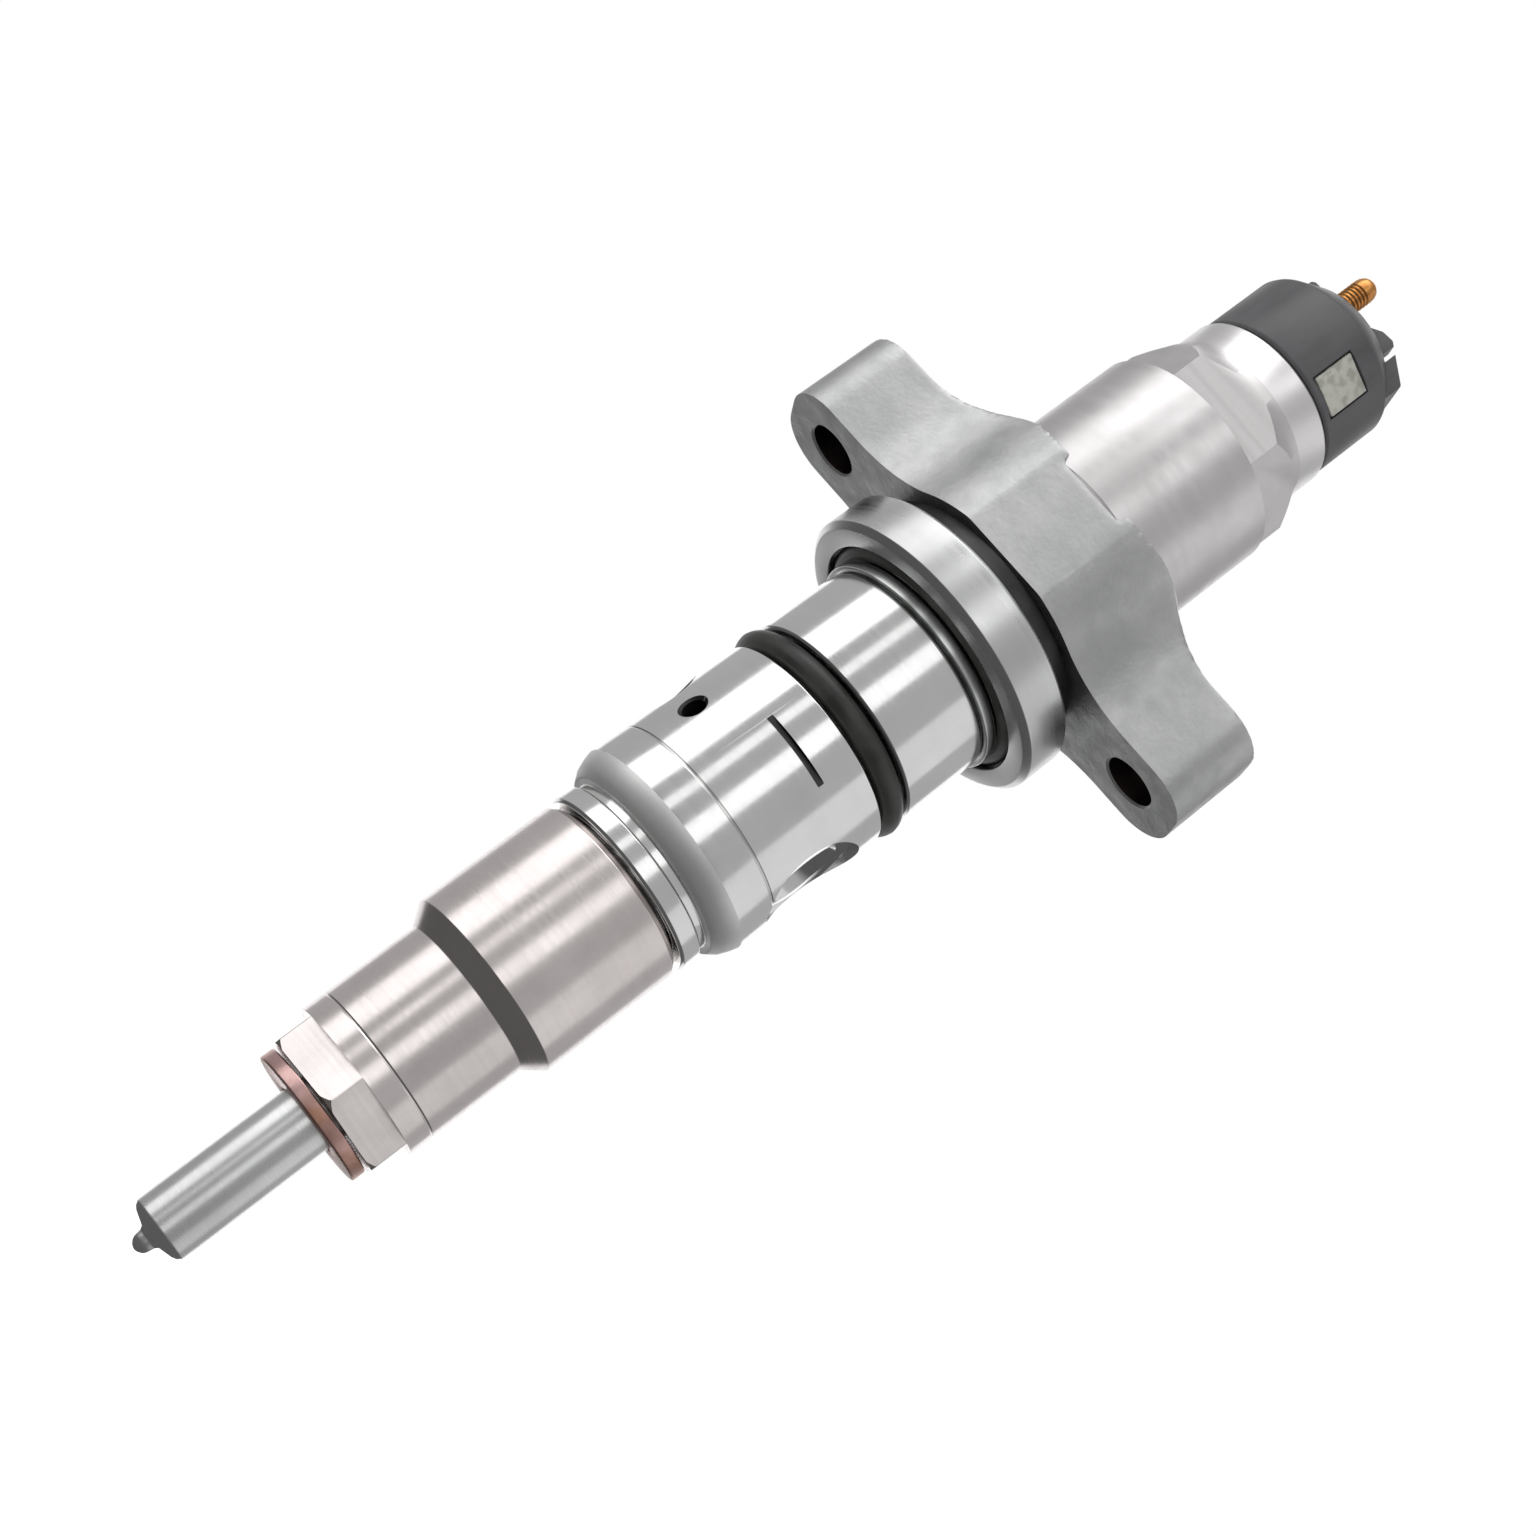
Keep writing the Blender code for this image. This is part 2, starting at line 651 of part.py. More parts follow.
def moulded_block(name, outline, half_width):
    """A block with an outline of (X, Z) points, as deep as twice the half width along Y."""
    work = bmesh.new()
    side = work.faces.new([work.verts.new((x * MM, -half_width * MM, z * MM)) for x, z in outline])
    raised = bmesh.ops.extrude_face_region(work, geom=[side])["geom"]
    far = [item for item in raised if isinstance(item, bmesh.types.BMVert)]
    bmesh.ops.translate(work, vec=(0.0, 2.0 * half_width * MM, 0.0), verts=far)
    block = mesh_piece(name, work, cutters)
    block.hide_render = True
    block.display_type = "WIRE"
    return block


def make_cap():
    """The moulded cap with its guard, the two terminal studs, the seal and the blank plate."""
    cap = turned("electrical_cap", [
        (0.0, CAP_TOP_Z),
        (5.4, CAP_TOP_Z),
        (5.9, CAP_TOP_Z - 0.15),
        (8.0, 57.8),
        (CAP_R - 0.2, 54.9),
        (CAP_R, 54.4),
        (CAP_R, CAP_LOW_Z + 0.3),
        (CAP_R - 0.3, CAP_LOW_Z),
        (CAP_SPIGOT_R, CAP_LOW_Z),
        (CAP_SPIGOT_R, 43.7),
        (7.2, 43.7),
        (7.2, 41.9),
        (CAP_SPIGOT_R, 41.9),
        (CAP_SPIGOT_R, 41.3),
        (0.0, 41.3),
    ], "black_plastic")
    oring("solenoid_o_ring", 8.05, 0.55, 42.8, "black_rubber")

    guard = moulded_block("guard_block", GUARD_OUTLINE, GUARD_HALF_WIDTH)
    key = moulded_block("key_block", KEY_OUTLINE, KEY_HALF_WIDTH)
    cut(cap, guard, key, operation="UNION")

    room_x, room_y, _ = STUD_2
    room = round_cutter("stud_room", STUD_ROOM_R, STUD_ROOM_R, (room_x, room_y, 57.0), (0, 0, 1), 8.0)
    front = box_cutter("guard_slot", (5.4, -6.0, 57.5), (6.3, 0.0, 65.0))
    back = box_cutter("guard_gap", (3.8, 0.0, 57.5), (7.0, 6.0, 65.0))
    cut(cap, room, front, back)

    for number, (x, y, top) in ((1, STUD_1), (2, STUD_2)):
        stud = turned(f"terminal_stud_{number}", [
            (0.0, top),
            (0.62, top - 0.12),
            (1.14, top - 0.48),
            (1.48, top - 1.0),
            (STUD_R, top - 1.6),
            (STUD_R, STUD_LOW_Z),
            (0.0, STUD_LOW_Z),
        ], "terminal_copper", steps=20)
        stud.location = (x * MM, y * MM, 0.0)
        hole_r = STUD_R + GAP
        low_z = STUD_LOW_Z - GAP
        cut(cap, round_cutter(f"stud_hole_{number}", hole_r, hole_r, (x, y, low_z), (0, 0, 1), 14.0, 20))

    thick, wide, tall = LABEL_SIZE
    pocket = box_cutter(
        "label_pocket",
        (LABEL_FACE - thick - GAP, -wide / 2.0 - GAP, LABEL_Z - tall / 2.0 - GAP),
        (LABEL_FACE + 2.0, wide / 2.0 + GAP, LABEL_Z + tall / 2.0 + GAP),
        LABEL_TURN,
    )
    cut(cap, pocket)
    work = bmesh.new()
    bmesh.ops.create_cube(work, size=1.0)
    bmesh.ops.scale(work, vec=Vector(LABEL_SIZE) * MM, verts=work.verts)
    plate_centre = Vector((LABEL_FACE - thick / 2.0, 0.0, LABEL_Z))
    bmesh.ops.translate(work, vec=plate_centre * MM, verts=work.verts)
    work.transform(Matrix.Rotation(math.radians(LABEL_TURN), 4, "Z"))
    mesh_piece("label_plate", work, slot="label_grey")


make_nozzle()
make_retaining_nut()
make_body()
make_clamp()
make_valve()
make_magnet()
make_cap()

bpy.context.view_layer.update()
for made in parts.objects:
    if made.type == "MESH" and not any(m.type == "SCREW" for m in made.modifiers):
        smooth(made.data)
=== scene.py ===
"""A heavy-duty common-rail fuel injector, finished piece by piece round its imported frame.

Everything is in metres in the frame's own axes: the injector's axis is Z, the nozzle points
down, and the clamp's underside is at Z = 0. Sizes below are in millimetres, times MM.
"""

import math

import bmesh
import bpy
from mathutils import Matrix, Vector


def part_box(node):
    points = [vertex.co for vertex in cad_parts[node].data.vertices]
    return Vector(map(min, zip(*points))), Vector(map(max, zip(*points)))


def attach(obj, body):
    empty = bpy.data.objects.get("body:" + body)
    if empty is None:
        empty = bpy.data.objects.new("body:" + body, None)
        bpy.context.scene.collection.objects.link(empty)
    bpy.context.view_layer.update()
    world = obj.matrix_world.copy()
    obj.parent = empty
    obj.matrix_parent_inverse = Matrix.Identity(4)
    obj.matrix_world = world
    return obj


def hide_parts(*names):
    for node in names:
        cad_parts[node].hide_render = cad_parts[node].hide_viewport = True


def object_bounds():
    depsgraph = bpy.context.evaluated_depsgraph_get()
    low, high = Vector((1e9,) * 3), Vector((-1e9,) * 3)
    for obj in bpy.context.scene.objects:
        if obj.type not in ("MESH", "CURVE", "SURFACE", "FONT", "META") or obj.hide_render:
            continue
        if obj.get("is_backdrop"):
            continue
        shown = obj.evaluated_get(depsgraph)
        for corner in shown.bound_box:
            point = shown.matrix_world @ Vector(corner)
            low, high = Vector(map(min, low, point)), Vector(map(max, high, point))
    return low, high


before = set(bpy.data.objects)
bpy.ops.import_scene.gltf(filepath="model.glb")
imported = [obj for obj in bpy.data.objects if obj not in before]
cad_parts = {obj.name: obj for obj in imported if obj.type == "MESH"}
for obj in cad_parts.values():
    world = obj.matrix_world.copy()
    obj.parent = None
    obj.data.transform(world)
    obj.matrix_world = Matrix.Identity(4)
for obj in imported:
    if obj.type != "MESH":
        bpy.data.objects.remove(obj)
cad_low, cad_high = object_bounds()
MM = 0.001
SEAM = 0.0000005                 # corners closer than this, in metres, are one corner


# ---------------------------------------------------------------- injector body
# The long alloy-steel body that carries every other piece. It is turned from a forging, hardened,
# then ground and polished outside; the collar under the clamp is part of it. The fuel inlet is
# a cone in a milled flat, the return hole is drilled, and the index slot is cut with a thin wheel.

def into_object(name, work):
    """Puts a finished bmesh into a new object in the scene."""
    mesh = bpy.data.meshes.new(name)
    work.to_mesh(mesh)
    work.free()
    piece = bpy.data.objects.new(name, mesh)
    bpy.context.scene.collection.objects.link(piece)
    return piece


def rounded(outline, ease, is_ring):
    """A section with its sharp corners rounded, each by no more than its short side allows."""
    points = [Vector(point) for point in outline]
    smoothed = []
    for index, corner in enumerate(points):
        before, after = points[index - 1] - corner, points[(index + 1) % len(points)] - corner
        at_end = not is_ring and index in (0, len(points) - 1)
        if at_end or before.angle(-after) < math.radians(25.0):
            smoothed.append(corner)
            continue
        reach = min(ease, before.length * 0.4, after.length * 0.4)
        start, end = corner + before.normalized() * reach, corner + after.normalized() * reach
        for step in (0.0, 0.25, 0.5, 0.75, 1.0):
            smoothed.append(start.lerp(corner, step).lerp(corner.lerp(end, step), step))
    return smoothed


def spin_round(work, steps):
    """Spins a section a full turn about Z and closes the seam."""
    bmesh.ops.spin(
        work, geom=work.verts[:] + work.edges[:], axis=(0.0, 0.0, 1.0),
        angle=math.tau, steps=steps, use_merge=True)
    bmesh.ops.remove_doubles(work, verts=work.verts, dist=SEAM)
    work.normal_update()
    bmesh.ops.recalc_face_normals(work, faces=work.faces)


def ease_edges(work, ease, segments=3):
    """Rounds every edge of a block."""
    bmesh.ops.bevel(
        work, geom=work.edges[:], offset=ease * MM, offset_type="OFFSET", segments=segments,
        profile=0.5, affect="EDGES", material=-1, clamp_overlap=True)


def turned(name, outline, ease=0.12, steps=224):
    """A lathe-turned piece from the (radius, height) corners of its section.

    A section that starts on the axis is solid, and any other is a closed ring.
    Each corner the tool leaves is eased by a small round.
    """
    is_ring = outline[0][0] > 0.0
    if ease:
        outline = rounded(outline, ease, is_ring)
    work = bmesh.new()
    corners = [work.verts.new((r * MM, 0.0, z * MM)) for r, z in outline]
    for first, second in zip(corners, corners[1:]):
        work.edges.new((first, second))
    if is_ring:
        work.edges.new((corners[-1], corners[0]))
    spin_round(work, steps)
    return into_object(name, work)


def aimed(tool, start, along):
    """Moves a tool turned about Z so that its origin is at start and its axis points along."""
    facing = Vector(along).to_track_quat("Z", "Y").to_matrix().to_4x4()
    tool.data.transform(Matrix.Translation(Vector(start) * MM) @ facing)
    return tool


def drill(radius, depth, start, along, chamfer=0.0, mouth=6.0, steps=64):
    """A drill that starts at the hole's mouth and goes in for its depth, with a chamfer there."""
    outline = [(0.0, mouth), (radius + (chamfer + mouth if chamfer else 0.0), mouth)]
    if chamfer:
        outline.append((radius, -chamfer))
    outline += [(radius, -depth), (0.0, -depth - radius * 0.5)]
    return aimed(turned("drill", outline, ease=0.0, steps=steps), start, along)


def mill(low, high, turn=0.0, ease=0.0):
    """A milling cut between two corners, turned round the injector's axis by some degrees."""
    work = bmesh.new()
    bmesh.ops.create_cube(work, size=1.0)
    bmesh.ops.scale(work, vec=(Vector(high) - Vector(low)) * MM, verts=work.verts)
    bmesh.ops.translate(work, vec=(Vector(high) + Vector(low)) / 2.0 * MM, verts=work.verts)
    if ease:
        ease_edges(work, ease)
    bmesh.ops.rotate(
        work, cent=(0, 0, 0), matrix=Matrix.Rotation(math.radians(turn), 3, "Z"), verts=work.verts)
    return into_object("mill", work)


def machine(piece, *tools, operation="DIFFERENCE"):
    """Cuts each tool out of a piece, or joins it on, and keeps the resulting mesh."""
    for tool in tools:
        change = piece.modifiers.new("Machining", "BOOLEAN")
        change.operation = operation
        change.solver = "EXACT"
        change.object = tool
    ready = piece.evaluated_get(bpy.context.evaluated_depsgraph_get())
    rough = piece.data
    piece.data = bpy.data.meshes.new_from_object(ready)
    piece.modifiers.clear()
    bpy.data.meshes.remove(rough)
    for tool in tools:
        bpy.data.meshes.remove(tool.data)


def fit(piece, node, finish, sharp=24.0):
    """Shades a finished piece, gives it its finish and puts it in its CAD node's place."""
    piece.data.materials.clear()
    piece.data.materials.append(finish)
    piece.data.shade_smooth()
    piece.data.set_sharp_from_angle(angle=math.radians(sharp))
    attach(piece, "holder")
    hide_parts(node)


def refinish_faces(piece, finish, picked):
    """Gives a finish of their own to the faces picked by radius, height and direction."""
    piece.data.materials.append(finish)
    for face in piece.data.polygons:
        centre = face.center / MM
        turn = math.degrees(math.atan2(centre.y, centre.x)) % 360.0
        if picked(math.hypot(centre.x, centre.y), centre.z, turn):
            face.material_index = len(piece.data.materials) - 1


def new_finish(name):
    """An empty node material and its Principled shader."""
    finish = bpy.data.materials.new(name)
    finish.use_nodes = True
    return finish, finish.node_tree, finish.node_tree.nodes["Principled BSDF"]


def noise(tree, where, scale, detail=3.0, rough=0.5):
    """Noise read at a position on the piece, with its scale in features per metre."""
    made = tree.nodes.new("ShaderNodeTexNoise")
    made.inputs["Scale"].default_value = scale
    made.inputs["Detail"].default_value = detail
    made.inputs["Roughness"].default_value = rough
    tree.links.new(where, made.inputs["Vector"])
    return made.outputs["Fac"]


def blend(tree, amount, low, high):
    """A colour that runs from low to high as amount goes from 0 to 1."""
    made = tree.nodes.new("ShaderNodeMix")
    made.data_type = "RGBA"
    made.inputs[6].default_value = (*low, 1.0)
    made.inputs[7].default_value = (*high, 1.0)
    tree.links.new(amount, made.inputs[0])
    return made.outputs[2]


def span(tree, value, low, high, out_low, out_high):
    """A value's range from low to high, stretched to the outgoing range and clamped to it."""
    made = tree.nodes.new("ShaderNodeMapRange")
    for socket, given in zip((1, 2, 3, 4), (low, high, out_low, out_high)):
        made.inputs[socket].default_value = given
    tree.links.new(value, made.inputs[0])
    return made.outputs[0]


def add_up(tree, first, second, share):
    """first plus a share of second."""
    made = tree.nodes.new("ShaderNodeMath")
    made.operation = "MULTIPLY_ADD"
    made.inputs[1].default_value = share
    tree.links.new(second, made.inputs[0])
    tree.links.new(first, made.inputs[2])
    return made.outputs[0]


def object_place(tree, stretch=(1.0, 1.0, 1.0)):
    """Positions on the piece in metres, stretched along its own axes."""
    where = tree.nodes.new("ShaderNodeTexCoord")
    mapping = tree.nodes.new("ShaderNodeMapping")
    mapping.inputs["Scale"].default_value = stretch
    tree.links.new(where.outputs["Object"], mapping.inputs["Vector"])
    return mapping.outputs["Vector"]


def tint(tree, shader, value, low, high, first, second):
    """A base colour that runs from first to second as a value goes from low to high."""
    amount = span(tree, value, low, high, 0.0, 1.0)
    tree.links.new(blend(tree, amount, first, second), shader.inputs["Base Color"])


def relief(tree, shader, height, depth):
    """Fine surface relief from a height pattern, as deep as given in metres."""
    bump = tree.nodes.new("ShaderNodeBump")
    bump.inputs["Distance"].default_value = depth
    tree.links.new(height, bump.inputs["Height"])
    tree.links.new(bump.outputs["Normal"], shader.inputs["Normal"])


def lathe_finish(name, light, dark, gloss, lines, depth):
    """Turned metal: fine rings from the tool, faint clouding and a roughness that follows both.

    light and dark are the clouding's colours, gloss the lowest and highest roughness,
    lines the rings in a metre of length, and depth their height in micrometres.
    """
    finish, tree, shader = new_finish(name)
    rings = noise(tree, object_place(tree, (0.02, 0.02, 1.0)), lines, 4.0, 0.65)
    clouds = noise(tree, object_place(tree, (1.0, 1.0, 0.6)), 140.0, 4.0, 0.6)
    bands = noise(tree, object_place(tree, (0.04, 0.04, 1.0)), 260.0, 2.0, 0.5)
    both = add_up(tree, clouds, bands, 0.35)
    tint(tree, shader, both, 0.45, 0.95, light, dark)
    wear = add_up(tree, rings, clouds, 0.8)
    tree.links.new(span(tree, wear, 0.6, 1.2, *gloss), shader.inputs["Roughness"])
    relief(tree, shader, rings, depth * 0.000001)
    shader.inputs["Metallic"].default_value = 1.0
    return finish


BODY_R = 13.0
NECK_R = 12.5                    # under the clamp
COLLAR_R = 18.0
COLLAR_Z = (-9.25, -3.1)
ORING_Z = -23.8
INLET_Z = -35.5
INLET_FACE = 11.3                # the milled flat's distance from the axis
SWELL_Z = -41.0                  # the fine step where the ground part of the body starts
SHOULDER_R = 15.2                # between the collar and the clamp
SLOT_Z = -30.8
SLOT_TURN = 282.0
RETURN_TURN = 230.0
SIDE_TURN = 194.0                # the small spot face round the back
SIDE_FACE = 12.45                # its distance from the axis
SIDE_Z = -35.2

body = turned("body_steel", [
    (7.6, 24.0),
    (10.9, 24.0),
    (11.4, 23.5),
    (11.4, 13.2),
    (NECK_R, 13.2),
    (NECK_R, -0.3),
    (SHOULDER_R, -0.3),
    (SHOULDER_R, COLLAR_Z[1]),
    (COLLAR_R - 0.5, COLLAR_Z[1]),
    (COLLAR_R, COLLAR_Z[1] - 0.5),
    (COLLAR_R, COLLAR_Z[0] + 0.7),
    (COLLAR_R - 0.7, COLLAR_Z[0]),
    (15.0, COLLAR_Z[0]),
    (15.0, -7.0),
    (12.2, -7.0),
    (12.2, -11.2),
    (BODY_R - 0.25, -11.2),
    (BODY_R, -11.5),
    (BODY_R, ORING_Z + 2.1),
    (BODY_R - 0.3, ORING_Z + 1.85),
    (10.15, ORING_Z + 1.85),
    (10.15, ORING_Z - 1.85),
    (BODY_R - 0.3, ORING_Z - 1.85),
    (BODY_R, ORING_Z - 2.1),
    (BODY_R, SWELL_Z + 0.2),
    (BODY_R - 0.12, SWELL_Z + 0.1),
    (BODY_R - 0.12, SWELL_Z),
    (BODY_R + 0.1, SWELL_Z - 0.15),
    (BODY_R + 0.1, -45.4),
    (12.85, -46.3),
    (12.4, -47.4),
    (11.6, -48.4),
    (10.6, -48.4),
    (10.6, -49.4),
    (11.0, -49.4),
    (11.3, -49.7),
    (11.3, -51.7),
    (11.0, -52.0),
    (9.0, -52.0),
    (9.0, -67.2),
    (8.5, -67.7),
    (3.6, -67.7),
    (3.6, -51.4),
    (2.25, -51.4),
    (2.25, 0.3),
    (5.5, 0.3),
    (5.5, 11.0),
    (7.6, 11.0),
])

FEED_X = 5.2                     # the high-pressure drilling's distance from the axis
inlet_flat = aimed(turned("mill", [
    (0.0, 6.0),
    (6.9, 6.0),
    (6.6, 0.35),
    (6.35, 0.0),
    (0.0, 0.0),
], ease=0.0, steps=96), (INLET_FACE, 0, INLET_Z), (1, 0, 0))
inlet_cone = aimed(turned("reamer", [
    (0.0, 6.0),
    (5.0, 6.0),
    (5.2, 0.4),
    (4.72, -0.08),
    (3.1, -3.3),
    (0.95, -3.5),
    (0.95, -6.4),
    (0.0, -6.5),
], ease=0.0, steps=96), (INLET_FACE, 0, INLET_Z), (1, 0, 0))
return_angle, side_angle = math.radians(RETURN_TURN), math.radians(SIDE_TURN)
outward = Vector((math.cos(return_angle), math.sin(return_angle), 0.0))
behind = Vector((math.cos(side_angle), math.sin(side_angle), 0.0))
side_flat = aimed(turned("mill", [
    (0.0, 4.0),
    (4.9, 4.0),
    (4.2, 0.5),
    (3.7, 0.0),
    (0.0, 0.0),
], ease=0.0, steps=96), behind * SIDE_FACE + Vector((0, 0, SIDE_Z)), behind)
machine(
    body,
    inlet_flat,
    inlet_cone,
    side_flat,
    drill(1.4, 5.4, outward * 12.75 + Vector((0, 0, INLET_Z)), outward, chamfer=0.12),
    drill(0.9, 32.5, (FEED_X, 0, -67.7), (0, 0, -1), mouth=1.0, steps=32),
    drill(1.2, 3.0, (0, FEED_X, -67.7), (0, 0, -1), mouth=1.0, steps=32),
    drill(1.2, 3.0, (0, -FEED_X, -67.7), (0, 0, -1), mouth=1.0, steps=32),
    mill((12.2, -8.0, SLOT_Z - 0.4), (15.2, 8.0, SLOT_Z + 0.4), turn=SLOT_TURN, ease=0.08),
)
fit(body, "injector_body", lathe_finish(
    "polished_body", (0.87, 0.875, 0.87), (0.77, 0.775, 0.765), (0.10, 0.20), 2600.0, 1.0))

# The milled spot faces stay flat right up to their edges.
for face in body.data.polygons:
    is_milled = max(face.normal.dot(behind), face.normal.x) > 0.99995
    if is_milled and abs(face.center.z / MM - INLET_Z) < 7.0:
        face.use_smooth = False
refinish_faces(
    body,
    lathe_finish("satin_collar", (0.74, 0.745, 0.745), (0.62, 0.625, 0.62), (0.24, 0.36), 2200.0, 1.4),
    lambda r, z, turn: r > 15.0 and COLLAR_Z[0] - 1.0 < z < COLLAR_Z[1] + 0.1)
refinish_faces(
    body,
    lathe_finish("satin_foot_rounding", (0.93, 0.93, 0.925), (0.82, 0.825, 0.82), (0.50, 0.62), 2200.0, 1.0),
    lambda r, z, turn: r > 10.7 and -48.6 < z < -45.3)
# Painted shade: the shoulder between the collar and the clamp, the index slot, the return hole and the
# inlet's bore get a near-black finish for the shade that falls in these recesses.
refinish_faces(
    body,
    lathe_finish("painted_shade_recesses", (0.10, 0.10, 0.10), (0.03, 0.03, 0.03), (0.40, 0.60), 2200.0, 2.0),
    lambda r, z, turn:
        (r > 14.0 and z > COLLAR_Z[1] - 0.1)
        or (r < 12.95 and abs(z - SLOT_Z) < 0.45 and abs(turn - SLOT_TURN) < 30.0)
        or (6.0 < r < 12.9 and abs(z - INLET_Z) < 1.6 and abs(turn - RETURN_TURN) < 9.0)
        or (2.4 < r < 7.95 and abs(z - INLET_Z) < 1.1 and min(turn, 360.0 - turn) < 16.0))


# ---------------------------------------------------------------- nozzle
# The spray nozzle is a hardened steel body with a long ground shank and a small rounded sac at its
# tip. It stands on the bottom of the injector body, held there by the retaining nut, and two
# dowels keep it from turning. Its needle, spring and shims run inside and are ground all over.

SHANK_R = 3.75
nozzle = turned("nozzle_steel", [
    (0.0, -112.7),
    (0.32, -112.64),
    (0.62, -112.48),
    (0.90, -112.22),
    (1.08, -111.88),
    (1.15, -111.5),
    (1.2, -111.1),
    (1.42, -110.77),
    (2.95, -110.32),
    (3.4, -110.06),
    (SHANK_R - 0.03, -109.6),
    (SHANK_R, -109.4),
    (SHANK_R, -86.8),
    (6.5, -86.8),
    (6.9, -86.4),
    (6.9, -68.4),
    (6.5, -68.0),
    (2.15, -68.0),
    (2.15, -79.6),
    (4.6, -80.8),
    (4.6, -84.2),
    (2.3, -85.2),
    (2.3, -107.0),
    (0.45, -110.2),
    (0.45, -110.9),
    (0.0, -111.2),
], ease=0.06, steps=128)
machine(
    nozzle,
    drill(0.9, 14.0, (FEED_X, 0, -68.0), (0, 0, 1), mouth=1.0, steps=32),
    drill(1.2, 3.0, (0, FEED_X, -68.0), (0, 0, 1), mouth=1.0, steps=32),
    drill(1.2, 3.0, (0, -FEED_X, -68.0), (0, 0, 1), mouth=1.0, steps=32),
)
fit(nozzle, "nozzle_body", lathe_finish(
    "ground_nozzle", (0.93, 0.935, 0.93), (0.82, 0.83, 0.82), (0.24, 0.34), 3400.0, 0.8))


def refinish(finish, *names):
    """Gives CAD nodes whose shape is right a better finish."""
    for name in names:
        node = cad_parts[name]
        node.data.materials.clear()
        node.data.materials.append(finish)


ground_inside = lathe_finish(
    "ground_inner_pieces", (0.66, 0.67, 0.68), (0.52, 0.53, 0.54), (0.18, 0.34), 4200.0, 2.0)
refinish(
    ground_inside, "nozzle_needle", "spring_seat", "spring_shim", "control_piston",
    "dowel_pin_1", "dowel_pin_2")


def wire_finish(name, light, dark):
    """Drawn and tempered spring wire: streaked along its surface, with a dull oxide film."""
    finish, tree, shader = new_finish(name)
    streaks = noise(tree, object_place(tree, (1.0, 1.0, 0.3)), 1600.0, 3.0, 0.6)
    film = noise(tree, object_place(tree), 380.0, 3.0, 0.6)
    tint(tree, shader, film, 0.35, 0.7, light, dark)
    tree.links.new(span(tree, streaks, 0.3, 0.7, 0.26, 0.46), shader.inputs["Roughness"])
    relief(tree, shader, streaks, 0.000004)
    shader.inputs["Metallic"].default_value = 1.0
    return finish


spring_wire = wire_finish("tempered_spring_wire", (0.44, 0.45, 0.48), (0.30, 0.30, 0.33))
refinish(spring_wire, "nozzle_spring")


# ---------------------------------------------------------------- nozzle retaining nut
# A long thin-walled nut of case-hardened steel that pulls the nozzle up against the body. It is
# turned from bar and left with a warm satin surface; its lower end is milled to a hexagon for the
# socket that tightens it.

NUT_LOWER_R = 9.2
NUT_UPPER_R = 11.0
HEX_FLATS = 16.0
HEX_TOP_Z = -85.8

nut = turned("nozzle_nut_steel", [
    (9.3, -52.3),
    (10.2, -52.3),
    (NUT_UPPER_R, -53.1),
    (NUT_UPPER_R, -69.5),
    (NUT_LOWER_R, -71.8),
    (NUT_LOWER_R, -82.9),
    (NUT_LOWER_R - 0.12, -83.05),
    (NUT_LOWER_R, -83.2),
    (NUT_LOWER_R, -89.6),
    (NUT_LOWER_R - 0.5, -90.1),
    (4.05, -90.1),
    (4.05, -87.1),
    (7.2, -87.1),
    (7.2, -71.2),
    (9.3, -70.0),
])
machine(nut, *[
    mill((HEX_FLATS / 2.0, -8.0, -92.0), (13.0, 8.0, HEX_TOP_Z), turn=12.0 + 60.0 * side)
    for side in range(6)
])
fit(nut, "nozzle_retaining_nut", lathe_finish(
    "satin_nozzle_nut", (0.87, 0.81, 0.80), (0.72, 0.665, 0.655), (0.18, 0.30), 2600.0, 0.5))


# ---------------------------------------------------------------- combustion washer
# The soft copper washer that seals the injector against the bottom of its bore. It is punched from
# sheet and annealed, so it is pink where it is clean and browner where heat has tarnished it.

def copper_finish(name, clean, tarnished, gloss, patch):
    """Copper with patches of tarnish, fine grain and small dents."""
    finish, tree, shader = new_finish(name)
    patches = noise(tree, object_place(tree), patch, 4.0, 0.6)
    grain = noise(tree, object_place(tree), 2400.0, 3.0, 0.6)
    tint(tree, shader, patches, 0.38, 0.62, clean, tarnished)
    tree.links.new(span(tree, patches, 0.35, 0.65, *gloss), shader.inputs["Roughness"])
    relief(tree, shader, grain, 0.000012)
    shader.inputs["Metallic"].default_value = 1.0
    return finish


WASHER_R = 7.8
low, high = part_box("combustion_washer")
washer_low, washer_high = low.z / MM, high.z / MM
washer = turned("washer_copper", [
    (4.05, washer_high),
    (WASHER_R, washer_high),
    (WASHER_R, washer_low),
    (4.05, washer_low),
], ease=0.25, steps=192)
fit(washer, "combustion_washer", copper_finish(
    "annealed_washer", (0.66, 0.43, 0.41), (0.44, 0.24, 0.17), (0.28, 0.42), 130.0))


# ---------------------------------------------------------------- body seals
# The big fuel-return O-ring sits in the body's groove, a small ring of the same black rubber seals
# the collar, and a ground steel backing ring holds that one in its recess. The rubber is moulded,
# so it has a dull skin and a faint flash line round its middle.

def rubber_finish(name):
    """Oiled black rubber: a fine moulded skin with a soft, uneven shine."""
    finish, tree, shader = new_finish(name)
    skin = noise(tree, object_place(tree), 2600.0, 4.0, 0.6)
    oil = noise(tree, object_place(tree), 240.0, 3.0, 0.5)
    tint(tree, shader, oil, 0.35, 0.7, (0.012, 0.012, 0.011), (0.028, 0.028, 0.026))
    tree.links.new(span(tree, oil, 0.3, 0.7, 0.34, 0.50), shader.inputs["Roughness"])
    relief(tree, shader, skin, 0.000012)
    return finish


